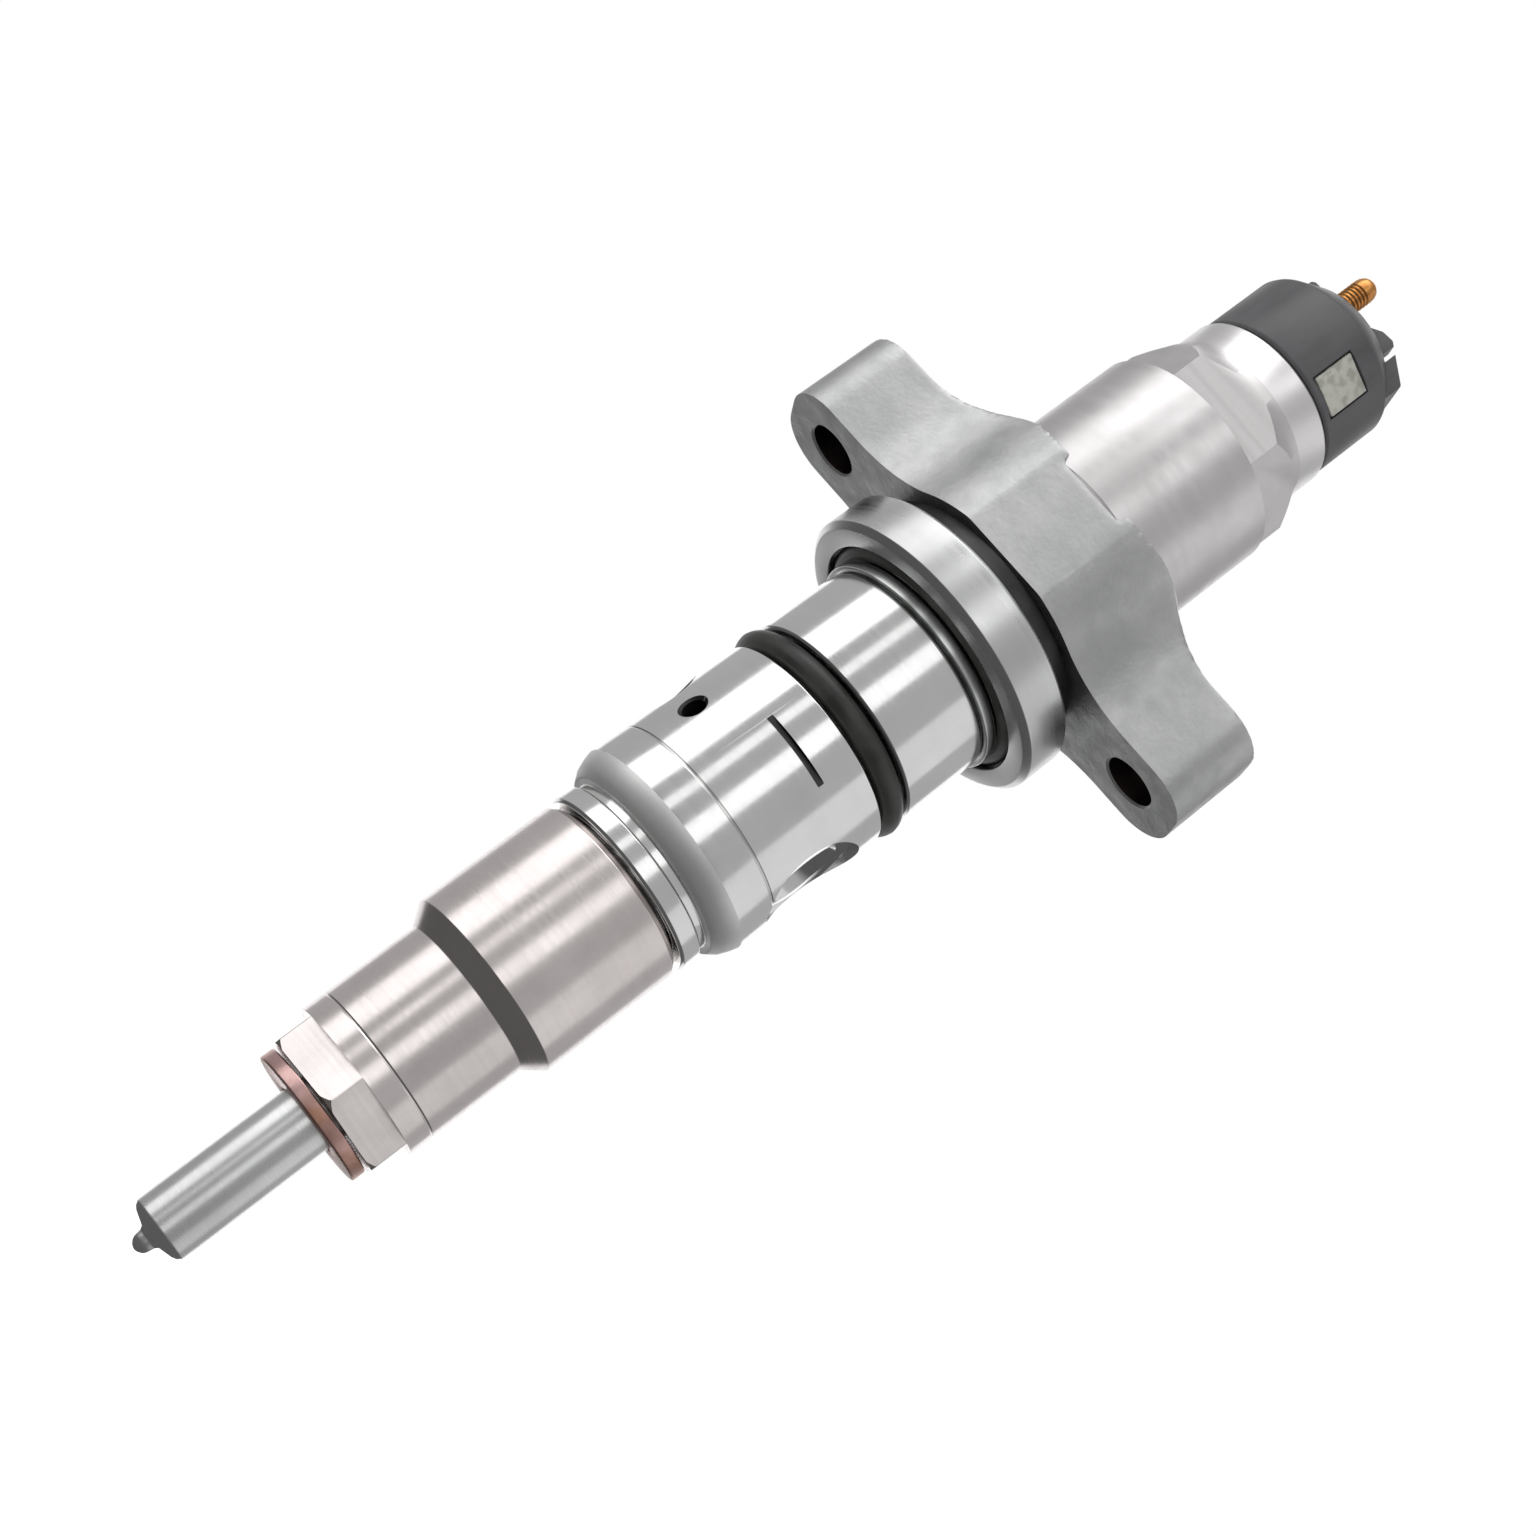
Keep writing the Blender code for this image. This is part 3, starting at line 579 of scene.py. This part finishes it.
def seal_ring(name, ring_r, section_r, height, flash=0.03):
    """A moulded ring of round section with a flash line round its outside."""
    work = bmesh.new()
    section = bmesh.ops.create_circle(work, cap_ends=False, segments=40, radius=section_r * MM)["verts"]
    for point in section:
        if point.co.x > 0.0 and abs(point.co.y) < section_r * MM * 0.08:
            point.co.x += flash * MM
    bmesh.ops.rotate(work, cent=(0, 0, 0), matrix=Matrix.Rotation(math.pi / 2.0, 3, "X"), verts=section)
    bmesh.ops.translate(work, vec=(ring_r * MM, 0.0, height * MM), verts=section)
    spin_round(work, 192)
    return into_object(name, work)


black_rubber = rubber_finish("moulded_black_rubber")
return_seal = seal_ring("return_seal_rubber", 12.0, 1.5, ORING_Z)
fit(return_seal, "body_o_ring", black_rubber, 60.0)
collar_seal = seal_ring("collar_seal_rubber", 13.6, 1.05, -8.2, 0.02)
fit(collar_seal, "collar_seal", black_rubber, 60.0)
refinish(black_rubber, "solenoid_o_ring")

backing = turned("backing_ring_steel", [
    (12.5, -9.6),
    (13.5, -9.6),
    (13.5, -11.0),
    (12.5, -11.0),
], ease=0.2, steps=192)
fit(backing, "backing_ring", lathe_finish(
    "ground_backing_ring", (0.66, 0.67, 0.66), (0.54, 0.55, 0.54), (0.18, 0.30), 3000.0, 2.0))


# ---------------------------------------------------------------- control valve and armature
# The valve body, its ball and the armature that lifts it are small ground steel pieces stacked in
# the top of the body and locked by a threaded ring. The high-pressure seal under them is soft
# copper, and the armature plate is soft magnetic iron with a dull, fine-grained surface.

def iron_finish(name, light, dark):
    """Pressed magnetic iron: dull, grainy and slightly pitted."""
    finish, tree, shader = new_finish(name)
    grain = noise(tree, object_place(tree), 3000.0, 4.0, 0.65)
    clouds = noise(tree, object_place(tree), 300.0, 3.0, 0.5)
    tint(tree, shader, clouds, 0.35, 0.65, light, dark)
    tree.links.new(span(tree, grain, 0.3, 0.7, 0.42, 0.62), shader.inputs["Roughness"])
    relief(tree, shader, grain, 0.000015)
    shader.inputs["Metallic"].default_value = 1.0
    return finish


refinish(
    ground_inside, "valve_body", "ball_holder", "spacer_sleeve", "armature_guide",
    "valve_clamp_nut", "armature_pin")
refinish(
    lathe_finish("lapped_valve_ball", (0.74, 0.75, 0.76), (0.66, 0.67, 0.68), (0.08, 0.16), 5000.0, 0.6),
    "valve_ball")
refinish(
    copper_finish("soft_copper_seal", (0.66, 0.36, 0.26), (0.48, 0.24, 0.16), (0.28, 0.42), 220.0),
    "high_pressure_seal")
magnet_iron = iron_finish("pressed_magnet_iron", (0.34, 0.34, 0.35), (0.22, 0.22, 0.23))
refinish(magnet_iron, "armature_plate")
refinish(spring_wire, "armature_spring")


# ---------------------------------------------------------------- clamp
# The clamp is a drop forging of medium-carbon steel that fits over the body's neck and presses on
# its collar. Its skin is shot-blasted and grey, with soft edges; only the underside, the bore, the
# step for the cap nut and the two bolt holes are machined.

HUB_R = 16.4
EAR_TIP = 32.5
EAR_SIDE = 7.2
EAR_CORNER = 5.6
EAR_FILLET = 16.0
PAD_Y = 15.4
CLAMP_TOP = 17.0
BOLT_X = 25.5
BOLT_R = 3.3
SADDLE_R = 37.0                  # the hollow across the top, along Y
SADDLE_Z = 13.7
NOTCH_Z = 12.9
STEP_R = 13.9                    # the step that takes the cap nut
STEP_Z = 13.2
FORGING_GRAIN = 0.34             # the cells of the forging's rounded skin


def curve_points(centre, radius, start, end, count):
    """Corners along a circular arc between two angles in degrees."""
    return [
        (
            centre[0] + radius * math.cos(math.radians(start + (end - start) * step / count)),
            centre[1] + radius * math.sin(math.radians(start + (end - start) * step / count)),
        )
        for step in range(count + 1)
    ]


def plate(name, outline, low, high):
    """A flat outline raised between two heights."""
    work = bmesh.new()
    floor_face = work.faces.new([work.verts.new((x * MM, y * MM, low * MM)) for x, y in outline])
    raised = bmesh.ops.extrude_face_region(work, geom=[floor_face])["geom"]
    lifted = [item for item in raised if isinstance(item, bmesh.types.BMVert)]
    bmesh.ops.translate(work, vec=(0.0, 0.0, (high - low) * MM), verts=lifted)
    work.normal_update()
    bmesh.ops.recalc_face_normals(work, faces=work.faces)
    return into_object(name, work)


fillet_y = EAR_SIDE + EAR_FILLET
fillet_x = math.sqrt((HUB_R + EAR_FILLET) ** 2 - fillet_y ** 2)
hub_turn = math.degrees(math.atan2(fillet_y, fillet_x))
quarter = curve_points((EAR_TIP - EAR_CORNER, EAR_SIDE - EAR_CORNER), EAR_CORNER, 0.0, 90.0, 12)
quarter += curve_points((fillet_x, fillet_y), EAR_FILLET, 270.0, 180.0 + hub_turn, 14)
quarter += curve_points((0.0, 0.0), HUB_R, hub_turn, 90.0, 14)[1:]
upper_half = quarter + [(-x, y) for x, y in reversed(quarter[:-1])]
clamp = plate(
    "clamp_forging", upper_half + [(x, -y) for x, y in reversed(upper_half)], -1.2, CLAMP_TOP)
crown = turned("crown", [
    (0.0, CLAMP_TOP + 1.0),
    (14.8, CLAMP_TOP + 1.0),
    (14.8, 16.8),
    (15.9, 15.4),
    (17.6, 14.1),
    (19.8, 13.0),
    (22.6, 12.25),
    (25.5, 12.0),
    (40.0, 12.0),
    (40.0, -2.0),
    (0.0, -2.0),
], ease=0.0)
machine(clamp, crown, operation="INTERSECT")
saddle = aimed(turned("saddle", [
    (0.0, 30.0),
    (SADDLE_R, 30.0),
    (SADDLE_R, -30.0),
    (0.0, -30.0),
], ease=0.0, steps=256), (0.0, 0.0, SADDLE_Z + SADDLE_R), (0, 1, 0))
machine(
    clamp,
    saddle,
    *[mill((PAD_Y, -7.0, -2.0), (PAD_Y + 4.0, 7.0, 20.0), turn=turn) for turn in (90.0, -90.0)],
    *[mill((12.0, -4.6, NOTCH_Z), (20.0, 4.6, 20.0), turn=turn) for turn in (90.0, -90.0)],
)
skin = clamp.modifiers.new("Forged skin", "REMESH")
skin.mode = "VOXEL"
skin.voxel_size = FORGING_GRAIN * MM
skin.adaptivity = 0.0
rounding = clamp.modifiers.new("Die radii", "SMOOTH")
rounding.factor = 0.5
rounding.iterations = 4
machine(
    clamp,
    mill((-40.0, -40.0, -6.0), (40.0, 40.0, 0.0)),
    drill(NECK_R + 0.3, 24.0, (0, 0, 0), (0, 0, -1), chamfer=0.5, mouth=3.0, steps=224),
    turned("counterbore", [
        (0.0, 24.0),
        (STEP_R, 24.0),
        (STEP_R, STEP_Z),
        (0.0, STEP_Z),
    ], ease=0.0),
    *[
        drill(BOLT_R, 18.0, (side * BOLT_X, 0, 0), (0, 0, -1), chamfer=0.25, mouth=2.0, steps=96)
        for side in (1, -1)
    ],
)


def forged_finish(name, light, dark):
    """Shot-blasted forging: fine pits all over, broad clouding and a few darker scale marks."""
    finish, tree, shader = new_finish(name)
    pits = noise(tree, object_place(tree), 1900.0, 3.0, 0.55)
    waves = noise(tree, object_place(tree), 420.0, 3.0, 0.5)
    clouds = noise(tree, object_place(tree), 90.0, 5.0, 0.6)
    scale = noise(tree, object_place(tree), 320.0, 6.0, 0.7)
    base = add_up(tree, clouds, scale, 0.5)
    tint(tree, shader, base, 0.55, 0.95, light, dark)
    tree.links.new(span(tree, waves, 0.3, 0.7, 0.40, 0.54), shader.inputs["Roughness"])
    relief(tree, shader, add_up(tree, pits, waves, 2.0), 0.00003)
    shader.inputs["Metallic"].default_value = 1.0
    return finish


fit(clamp, "clamp_flange", forged_finish(
    "shot_blasted_forging", (0.62, 0.62, 0.625), (0.49, 0.495, 0.495)))
# Painted shade: the insides of the two bolt holes get a near-black finish for the shade that falls in them.
refinish_faces(
    clamp,
    forged_finish("painted_shade_bolt_holes", (0.10, 0.075, 0.07), (0.04, 0.03, 0.03)),
    lambda r, z, turn: 0.05 < z < 11.7 and math.hypot(
        r * math.cos(math.radians(turn)) - math.copysign(BOLT_X, math.cos(math.radians(turn))),
        r * math.sin(math.radians(turn))) < BOLT_R + 0.12)


# ---------------------------------------------------------------- solenoid
# The magnet is a pot of pressed iron with a resin-filled coil in its groove. It drops into the cap
# nut with the valve spring and a lift shim under it, and its windings are potted in brown resin.

def resin_finish(name, light, dark):
    """Potting resin over copper wire: brown, slightly glossy, with faint turns showing through."""
    finish, tree, shader = new_finish(name)
    turns = noise(tree, object_place(tree, (0.02, 0.02, 1.0)), 2500.0, 2.0, 0.5)
    cloud = noise(tree, object_place(tree), 260.0, 3.0, 0.6)
    tint(tree, shader, cloud, 0.35, 0.65, light, dark)
    tree.links.new(span(tree, cloud, 0.3, 0.7, 0.30, 0.48), shader.inputs["Roughness"])
    relief(tree, shader, turns, 0.00002)
    return finish


refinish(magnet_iron, "solenoid_core")
refinish(resin_finish("potted_coil", (0.26, 0.11, 0.045), (0.17, 0.07, 0.03)), "solenoid_coil")
refinish(spring_wire, "valve_spring")
refinish(ground_inside, "lift_shim")


# ---------------------------------------------------------------- solenoid cap nut
# The cap nut screws onto the top of the body, clamps the magnet down and traps the clamp between
# its lower rim and the collar. It is turned from bar to a satin surface, with a hexagon milled
# across its cone for the spanner and a bright neck above it.

CAP_NUT_R = 13.6
NECK_TOP_R = 11.05
CAP_NUT_FLATS = 23.0
low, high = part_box("solenoid_nut")
nut_foot, nut_top = low.z / MM, high.z / MM

cap_nut = turned("cap_nut_steel", [
    (8.9, nut_top),
    (NECK_TOP_R - 0.4, nut_top),
    (NECK_TOP_R, nut_top - 0.4),
    (NECK_TOP_R, 40.1),
    (11.8, 38.2),
    (13.4, 35.9),
    (CAP_NUT_R, 35.4),
    (CAP_NUT_R, nut_foot + 0.5),
    (CAP_NUT_R - 0.5, nut_foot),
    (11.7, nut_foot),
    (11.7, 26.0),
    (10.6, 26.6),
    (10.6, 41.3),
    (8.9, 41.3),
])
machine(cap_nut, *[
    mill((CAP_NUT_FLATS / 2.0, -8.0, 31.7), (17.0, 8.0, 41.0), turn=274.0 + 60.0 * side)
    for side in range(6)
])
fit(cap_nut, "solenoid_nut", lathe_finish(
    "satin_cap_nut", (0.78, 0.755, 0.76), (0.64, 0.62, 0.62), (0.28, 0.42), 1500.0, 1.5))
refinish_faces(
    cap_nut,
    lathe_finish("bright_cap_nut_neck", (0.90, 0.88, 0.885), (0.80, 0.78, 0.785), (0.28, 0.38), 2600.0, 0.8),
    lambda r, z, turn: r > 10.0 and z > 40.0)


# ---------------------------------------------------------------- electrical cap
# The cap is moulded in glass-filled black nylon round the coil's two leads and pressed into the cap
# nut on its seal. A guard block stands over the second terminal, a small key opposite it locates
# the harness connector, and a shallow pocket holds the plate that carries the trim code.

def moulded_finish(name, light, dark):
    """Glass-filled nylon: fine spark-eroded grain, faint flow marks and a dull sheen."""
    finish, tree, shader = new_finish(name)
    grain = noise(tree, object_place(tree), 5200.0, 3.0, 0.55)
    flow = noise(tree, object_place(tree, (1.0, 1.0, 0.35)), 180.0, 4.0, 0.6)
    tint(tree, shader, flow, 0.35, 0.68, light, dark)
    tree.links.new(span(tree, flow, 0.3, 0.7, 0.36, 0.52), shader.inputs["Roughness"])
    relief(tree, shader, grain, 0.00001)
    return finish


def moulded_block(name, outline, half_width, ease):
    """A block with an (X, Z) outline, as deep as twice its half width, with moulded edges."""
    work = bmesh.new()
    side = work.faces.new([work.verts.new((x * MM, -half_width * MM, z * MM)) for x, z in outline])
    raised = bmesh.ops.extrude_face_region(work, geom=[side])["geom"]
    far = [item for item in raised if isinstance(item, bmesh.types.BMVert)]
    bmesh.ops.translate(work, vec=(0.0, 2.0 * half_width * MM, 0.0), verts=far)
    work.normal_update()
    bmesh.ops.recalc_face_normals(work, faces=work.faces)
    ease_edges(work, ease)
    return into_object(name, work)


CAP_R = 10.8
CAP_FOOT = nut_top + 0.3
CAP_TOP = 59.1
STUD_R = 1.6
STUD_1 = (-3.0, -0.5)
STUD_2 = (5.4, 0.0)
LABEL_TURN = -55.0
LABEL_Z = 48.9
LABEL_WIDE = 5.0
LABEL_TALL = 5.6
LABEL_FACE = 10.65               # the plate's outer face from the axis
LABEL_THICK = 0.5

cap = turned("cap_moulding", [
    (0.0, CAP_TOP),
    (5.4, CAP_TOP),
    (5.9, CAP_TOP - 0.15),
    (8.0, 57.8),
    (CAP_R - 0.2, 54.9),
    (CAP_R, 54.4),
    (CAP_R, CAP_FOOT + 0.3),
    (CAP_R - 0.3, CAP_FOOT),
    (8.6, CAP_FOOT),
    (8.6, 43.7),
    (7.2, 43.7),
    (7.2, 41.9),
    (8.6, 41.9),
    (8.6, 41.3),
    (0.0, 41.3),
], ease=0.12)
machine(
    cap,
    moulded_block("guard", [
        (1.0, 54.0), (1.0, 59.4), (3.2, 60.8), (4.8, 60.9), (9.7, 57.4), (9.7, 54.0)], 4.6, 0.25),
    moulded_block("key", [
        (-7.4, 57.0), (-7.4, 60.0), (-7.0, 60.4), (-5.0, 60.4), (-5.0, 57.0)], 2.4, 0.2),
    operation="UNION",
)
machine(
    cap,
    drill(2.5, 5.2, (*STUD_2, 62.0), (0, 0, 1), mouth=3.0),
    mill((5.4, -6.0, 57.5), (6.3, 0.0, 65.0)),
    mill((3.8, 0.0, 57.5), (7.0, 6.0, 65.0)),
    drill(STUD_R + 0.3, 14.3, (*STUD_1, 64.0), (0, 0, 1), mouth=4.0),
    drill(STUD_R + 0.3, 14.3, (*STUD_2, 64.0), (0, 0, 1), mouth=4.0),
    mill(
        (LABEL_FACE - LABEL_THICK - 0.3, -LABEL_WIDE / 2.0 - 0.3, LABEL_Z - LABEL_TALL / 2.0 - 0.3),
        (LABEL_FACE + 2.0, LABEL_WIDE / 2.0 + 0.3, LABEL_Z + LABEL_TALL / 2.0 + 0.3),
        turn=LABEL_TURN,
    ),
)
fit(cap, "electrical_cap", moulded_finish(
    "moulded_black_nylon", (0.052, 0.052, 0.055), (0.082, 0.081, 0.085)))


# ---------------------------------------------------------------- terminals and plate
# The two terminals are copper-plated studs moulded into the cap, threaded for the harness nuts and
# rounded at the end. The plate beside them is thin grey card, left blank, in the cap's pocket.

def threaded_stud(name, place, foot, top, thread_low, thread_high, pitch=0.5):
    """A stud with a rounded end and thread ridges between two heights."""
    outline = [
        (0.0, top), (0.5, top - 0.08), (0.95, top - 0.3), (1.3, top - 0.65),
        (1.52, top - 1.15), (STUD_R, top - 1.7),
    ]
    height = thread_high
    while height > thread_low:
        outline += [
            (STUD_R, height), (STUD_R - 0.16, height - pitch * 0.4),
            (STUD_R - 0.16, height - pitch * 0.6), (STUD_R, height - pitch)]
        height -= pitch * 1.1
    stud = turned(name, outline + [(STUD_R, foot), (0.0, foot)], ease=0.0, steps=96)
    stud.data.transform(Matrix.Translation((place[0] * MM, place[1] * MM, 0.0)))
    return stud


stud_copper = copper_finish("plated_terminal", (0.80, 0.40, 0.13), (0.58, 0.24, 0.07), (0.22, 0.38), 700.0)
for node, place in (("terminal_stud_1", STUD_1), ("terminal_stud_2", STUD_2)):
    low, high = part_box(node)
    top = high.z / MM
    stud = threaded_stud(node + "_copper", place, low.z / MM, top, max(top - 6.2, 57.6), top - 2.4)
    fit(stud, node, stud_copper)

work = bmesh.new()
bmesh.ops.create_cube(work, size=1.0)
bmesh.ops.scale(work, vec=(LABEL_THICK * MM, LABEL_WIDE * MM, LABEL_TALL * MM), verts=work.verts)
ease_edges(work, 0.08, segments=2)
bmesh.ops.translate(
    work, vec=((LABEL_FACE - LABEL_THICK / 2.0) * MM, 0.0, LABEL_Z * MM), verts=work.verts)
bmesh.ops.rotate(
    work, cent=(0, 0, 0), matrix=Matrix.Rotation(math.radians(LABEL_TURN), 3, "Z"), verts=work.verts)
plate_card = into_object("label_card", work)


def card_finish(name, light, dark):
    """Printed card worn to a blotchy grey, with a matt fibre surface."""
    finish, tree, shader = new_finish(name)
    blotches = noise(tree, object_place(tree), 900.0, 3.0, 0.5)
    fibre = noise(tree, object_place(tree), 6000.0, 3.0, 0.6)
    tint(tree, shader, blotches, 0.40, 0.60, light, dark)
    tree.links.new(span(tree, fibre, 0.3, 0.7, 0.5, 0.7), shader.inputs["Roughness"])
    relief(tree, shader, fibre, 0.000008)
    return finish


fit(plate_card, "label_plate", card_finish(
    "blank_grey_card", (0.36, 0.36, 0.32), (0.25, 0.25, 0.22)))


# ---------------------------------------------------------------- studio
# A pale floor just under the nozzle's tip, a white room, and tall soft boxes round the injector
# whose strips run along its polished sides. The camera looks slightly up at it from the nozzle's
# side, rolled so that the injector lies across the frame from lower left to upper right.

FLOOR_DROP = 0.8
CAMERA_RISE = math.radians(17.0)     # how far the view climbs towards the terminals
CAMERA_TURN = math.radians(12.0)     # round the injector, towards the fuel inlet
CAMERA_ROLL = math.radians(36.97)
CAMERA_REACH = 260.87
CAMERA_AIM = -30.55                  # height on the axis at the middle of the frame

across = Vector((math.sin(CAMERA_TURN), -math.cos(CAMERA_TURN), 0.0))
upward = Vector((-math.cos(CAMERA_TURN), -math.sin(CAMERA_TURN), 0.0))
along = Vector((0.0, 0.0, 1.0))
right = math.cos(CAMERA_RISE) * along + math.sin(CAMERA_RISE) * across
towards = -math.sin(CAMERA_RISE) * along + math.cos(CAMERA_RISE) * across
frame_right = math.cos(CAMERA_ROLL) * right - math.sin(CAMERA_ROLL) * upward
frame_up = math.sin(CAMERA_ROLL) * right + math.cos(CAMERA_ROLL) * upward

lens = bpy.data.cameras.new("camera")
lens.lens = 56.25
lens.sensor_width = 36.0
lens.clip_start = 0.01
camera = bpy.data.objects.new("camera", lens)
bpy.context.scene.collection.objects.link(camera)
spot = Vector((0.0, 0.0, CAMERA_AIM)) + upward * 0.3 + towards * CAMERA_REACH
camera.matrix_world = Matrix((
    (frame_right.x, frame_up.x, towards.x, spot.x * MM),
    (frame_right.y, frame_up.y, towards.y, spot.y * MM),
    (frame_right.z, frame_up.z, towards.z, spot.z * MM),
    (0.0, 0.0, 0.0, 1.0),
))
bpy.context.scene.camera = camera

work = bmesh.new()
bmesh.ops.create_circle(work, cap_ends=True, segments=96, radius=1.5)
bmesh.ops.translate(work, vec=(0.0, 0.0, cad_low.z - FLOOR_DROP * MM), verts=work.verts)
floor = into_object("studio_floor", work)
paper, tree, shader = new_finish("pale_paper")
fibre = noise(tree, object_place(tree), 400.0, 3.0, 0.6)
tint(tree, shader, fibre, 0.3, 0.7, (0.93, 0.93, 0.93), (0.95, 0.95, 0.95))
shader.inputs["Roughness"].default_value = 0.9
shader.inputs["Emission Color"].default_value = (1.0, 1.0, 1.0, 1.0)
shader.inputs["Emission Strength"].default_value = 0.75
shader.inputs["Specular IOR Level"].default_value = 0.0
floor.data.materials.append(paper)
floor.visible_glossy = False
floor.visible_shadow = False
floor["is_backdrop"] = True

# Each soft box: its turn from the camera round the axis (positive towards the inlet), its width
# in degrees and its brightness.
SOFT_BOXES = (
    (-71.0, 37.0, 0.98),
    (-31.0, 10.0, 0.72),
    (4.0, 20.0, 0.80),
    (82.0, 48.0, 0.30),
    (-168.0, 40.0, 0.70),
    (168.0, 40.0, 0.70),
)
BOX_AWAY = 0.75
BOX_TALL = 1.7
BOX_FOOT = -0.25
OVERHEAD_WIDE = 0.8
OVERHEAD_TURN = math.radians(55.0)   # from the camera's side towards the upper ear
for turn, width, brightness in SOFT_BOXES:
    panel = bpy.data.lights.new("soft_box", "AREA")
    panel.shape = "RECTANGLE"
    panel.size = 2.0 * BOX_AWAY * math.tan(math.radians(width) / 2.0)
    panel.size_y = BOX_TALL
    panel.energy = brightness * math.pi * panel.size * panel.size_y
    angle = math.radians(turn)
    side = math.cos(angle) * across - math.sin(angle) * upward
    box_light = bpy.data.objects.new("soft_box", panel)
    bpy.context.scene.collection.objects.link(box_light)
    facing = side.to_track_quat("Z", "Y").to_matrix().to_4x4()
    middle = side * BOX_AWAY + along * (BOX_FOOT + BOX_TALL / 2.0)
    box_light.matrix_world = Matrix.Translation(middle) @ facing
    box_light.visible_camera = False

overhead = bpy.data.lights.new("overhead_box", "AREA")
overhead.size = OVERHEAD_WIDE
overhead.energy = math.pi * overhead.size ** 2
lift = (math.cos(OVERHEAD_TURN) * across + math.sin(OVERHEAD_TURN) * upward) * 0.6 + along * 0.8
overhead_box = bpy.data.objects.new("overhead_box", overhead)
bpy.context.scene.collection.objects.link(overhead_box)
facing = lift.to_track_quat("Z", "Y").to_matrix().to_4x4()
overhead_box.matrix_world = Matrix.Translation(lift) @ facing
overhead_box.visible_camera = False

world = bpy.data.worlds.new("white_room")
bpy.context.scene.world = world
world.use_nodes = True
tree = world.node_tree
backdrop = tree.nodes["Background"]
backdrop.inputs["Color"].default_value = (1.0, 1.0, 1.0, 1.0)
path = tree.nodes.new("ShaderNodeLightPath")
ray = tree.nodes.new("ShaderNodeTexCoord")
height = tree.nodes.new("ShaderNodeSeparateXYZ")
tree.links.new(ray.outputs["Generated"], height.inputs["Vector"])
room = span(tree, height.outputs["Z"], -0.30, 0.05, 0.10, 0.43)
seen = tree.nodes.new("ShaderNodeMath")
seen.operation = "MAXIMUM"
tree.links.new(path.outputs["Is Camera Ray"], seen.inputs[0])
tree.links.new(room, seen.inputs[1])
tree.links.new(seen.outputs[0], backdrop.inputs["Strength"])
bpy.context.scene.view_settings.view_transform = "Standard"

low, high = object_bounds()
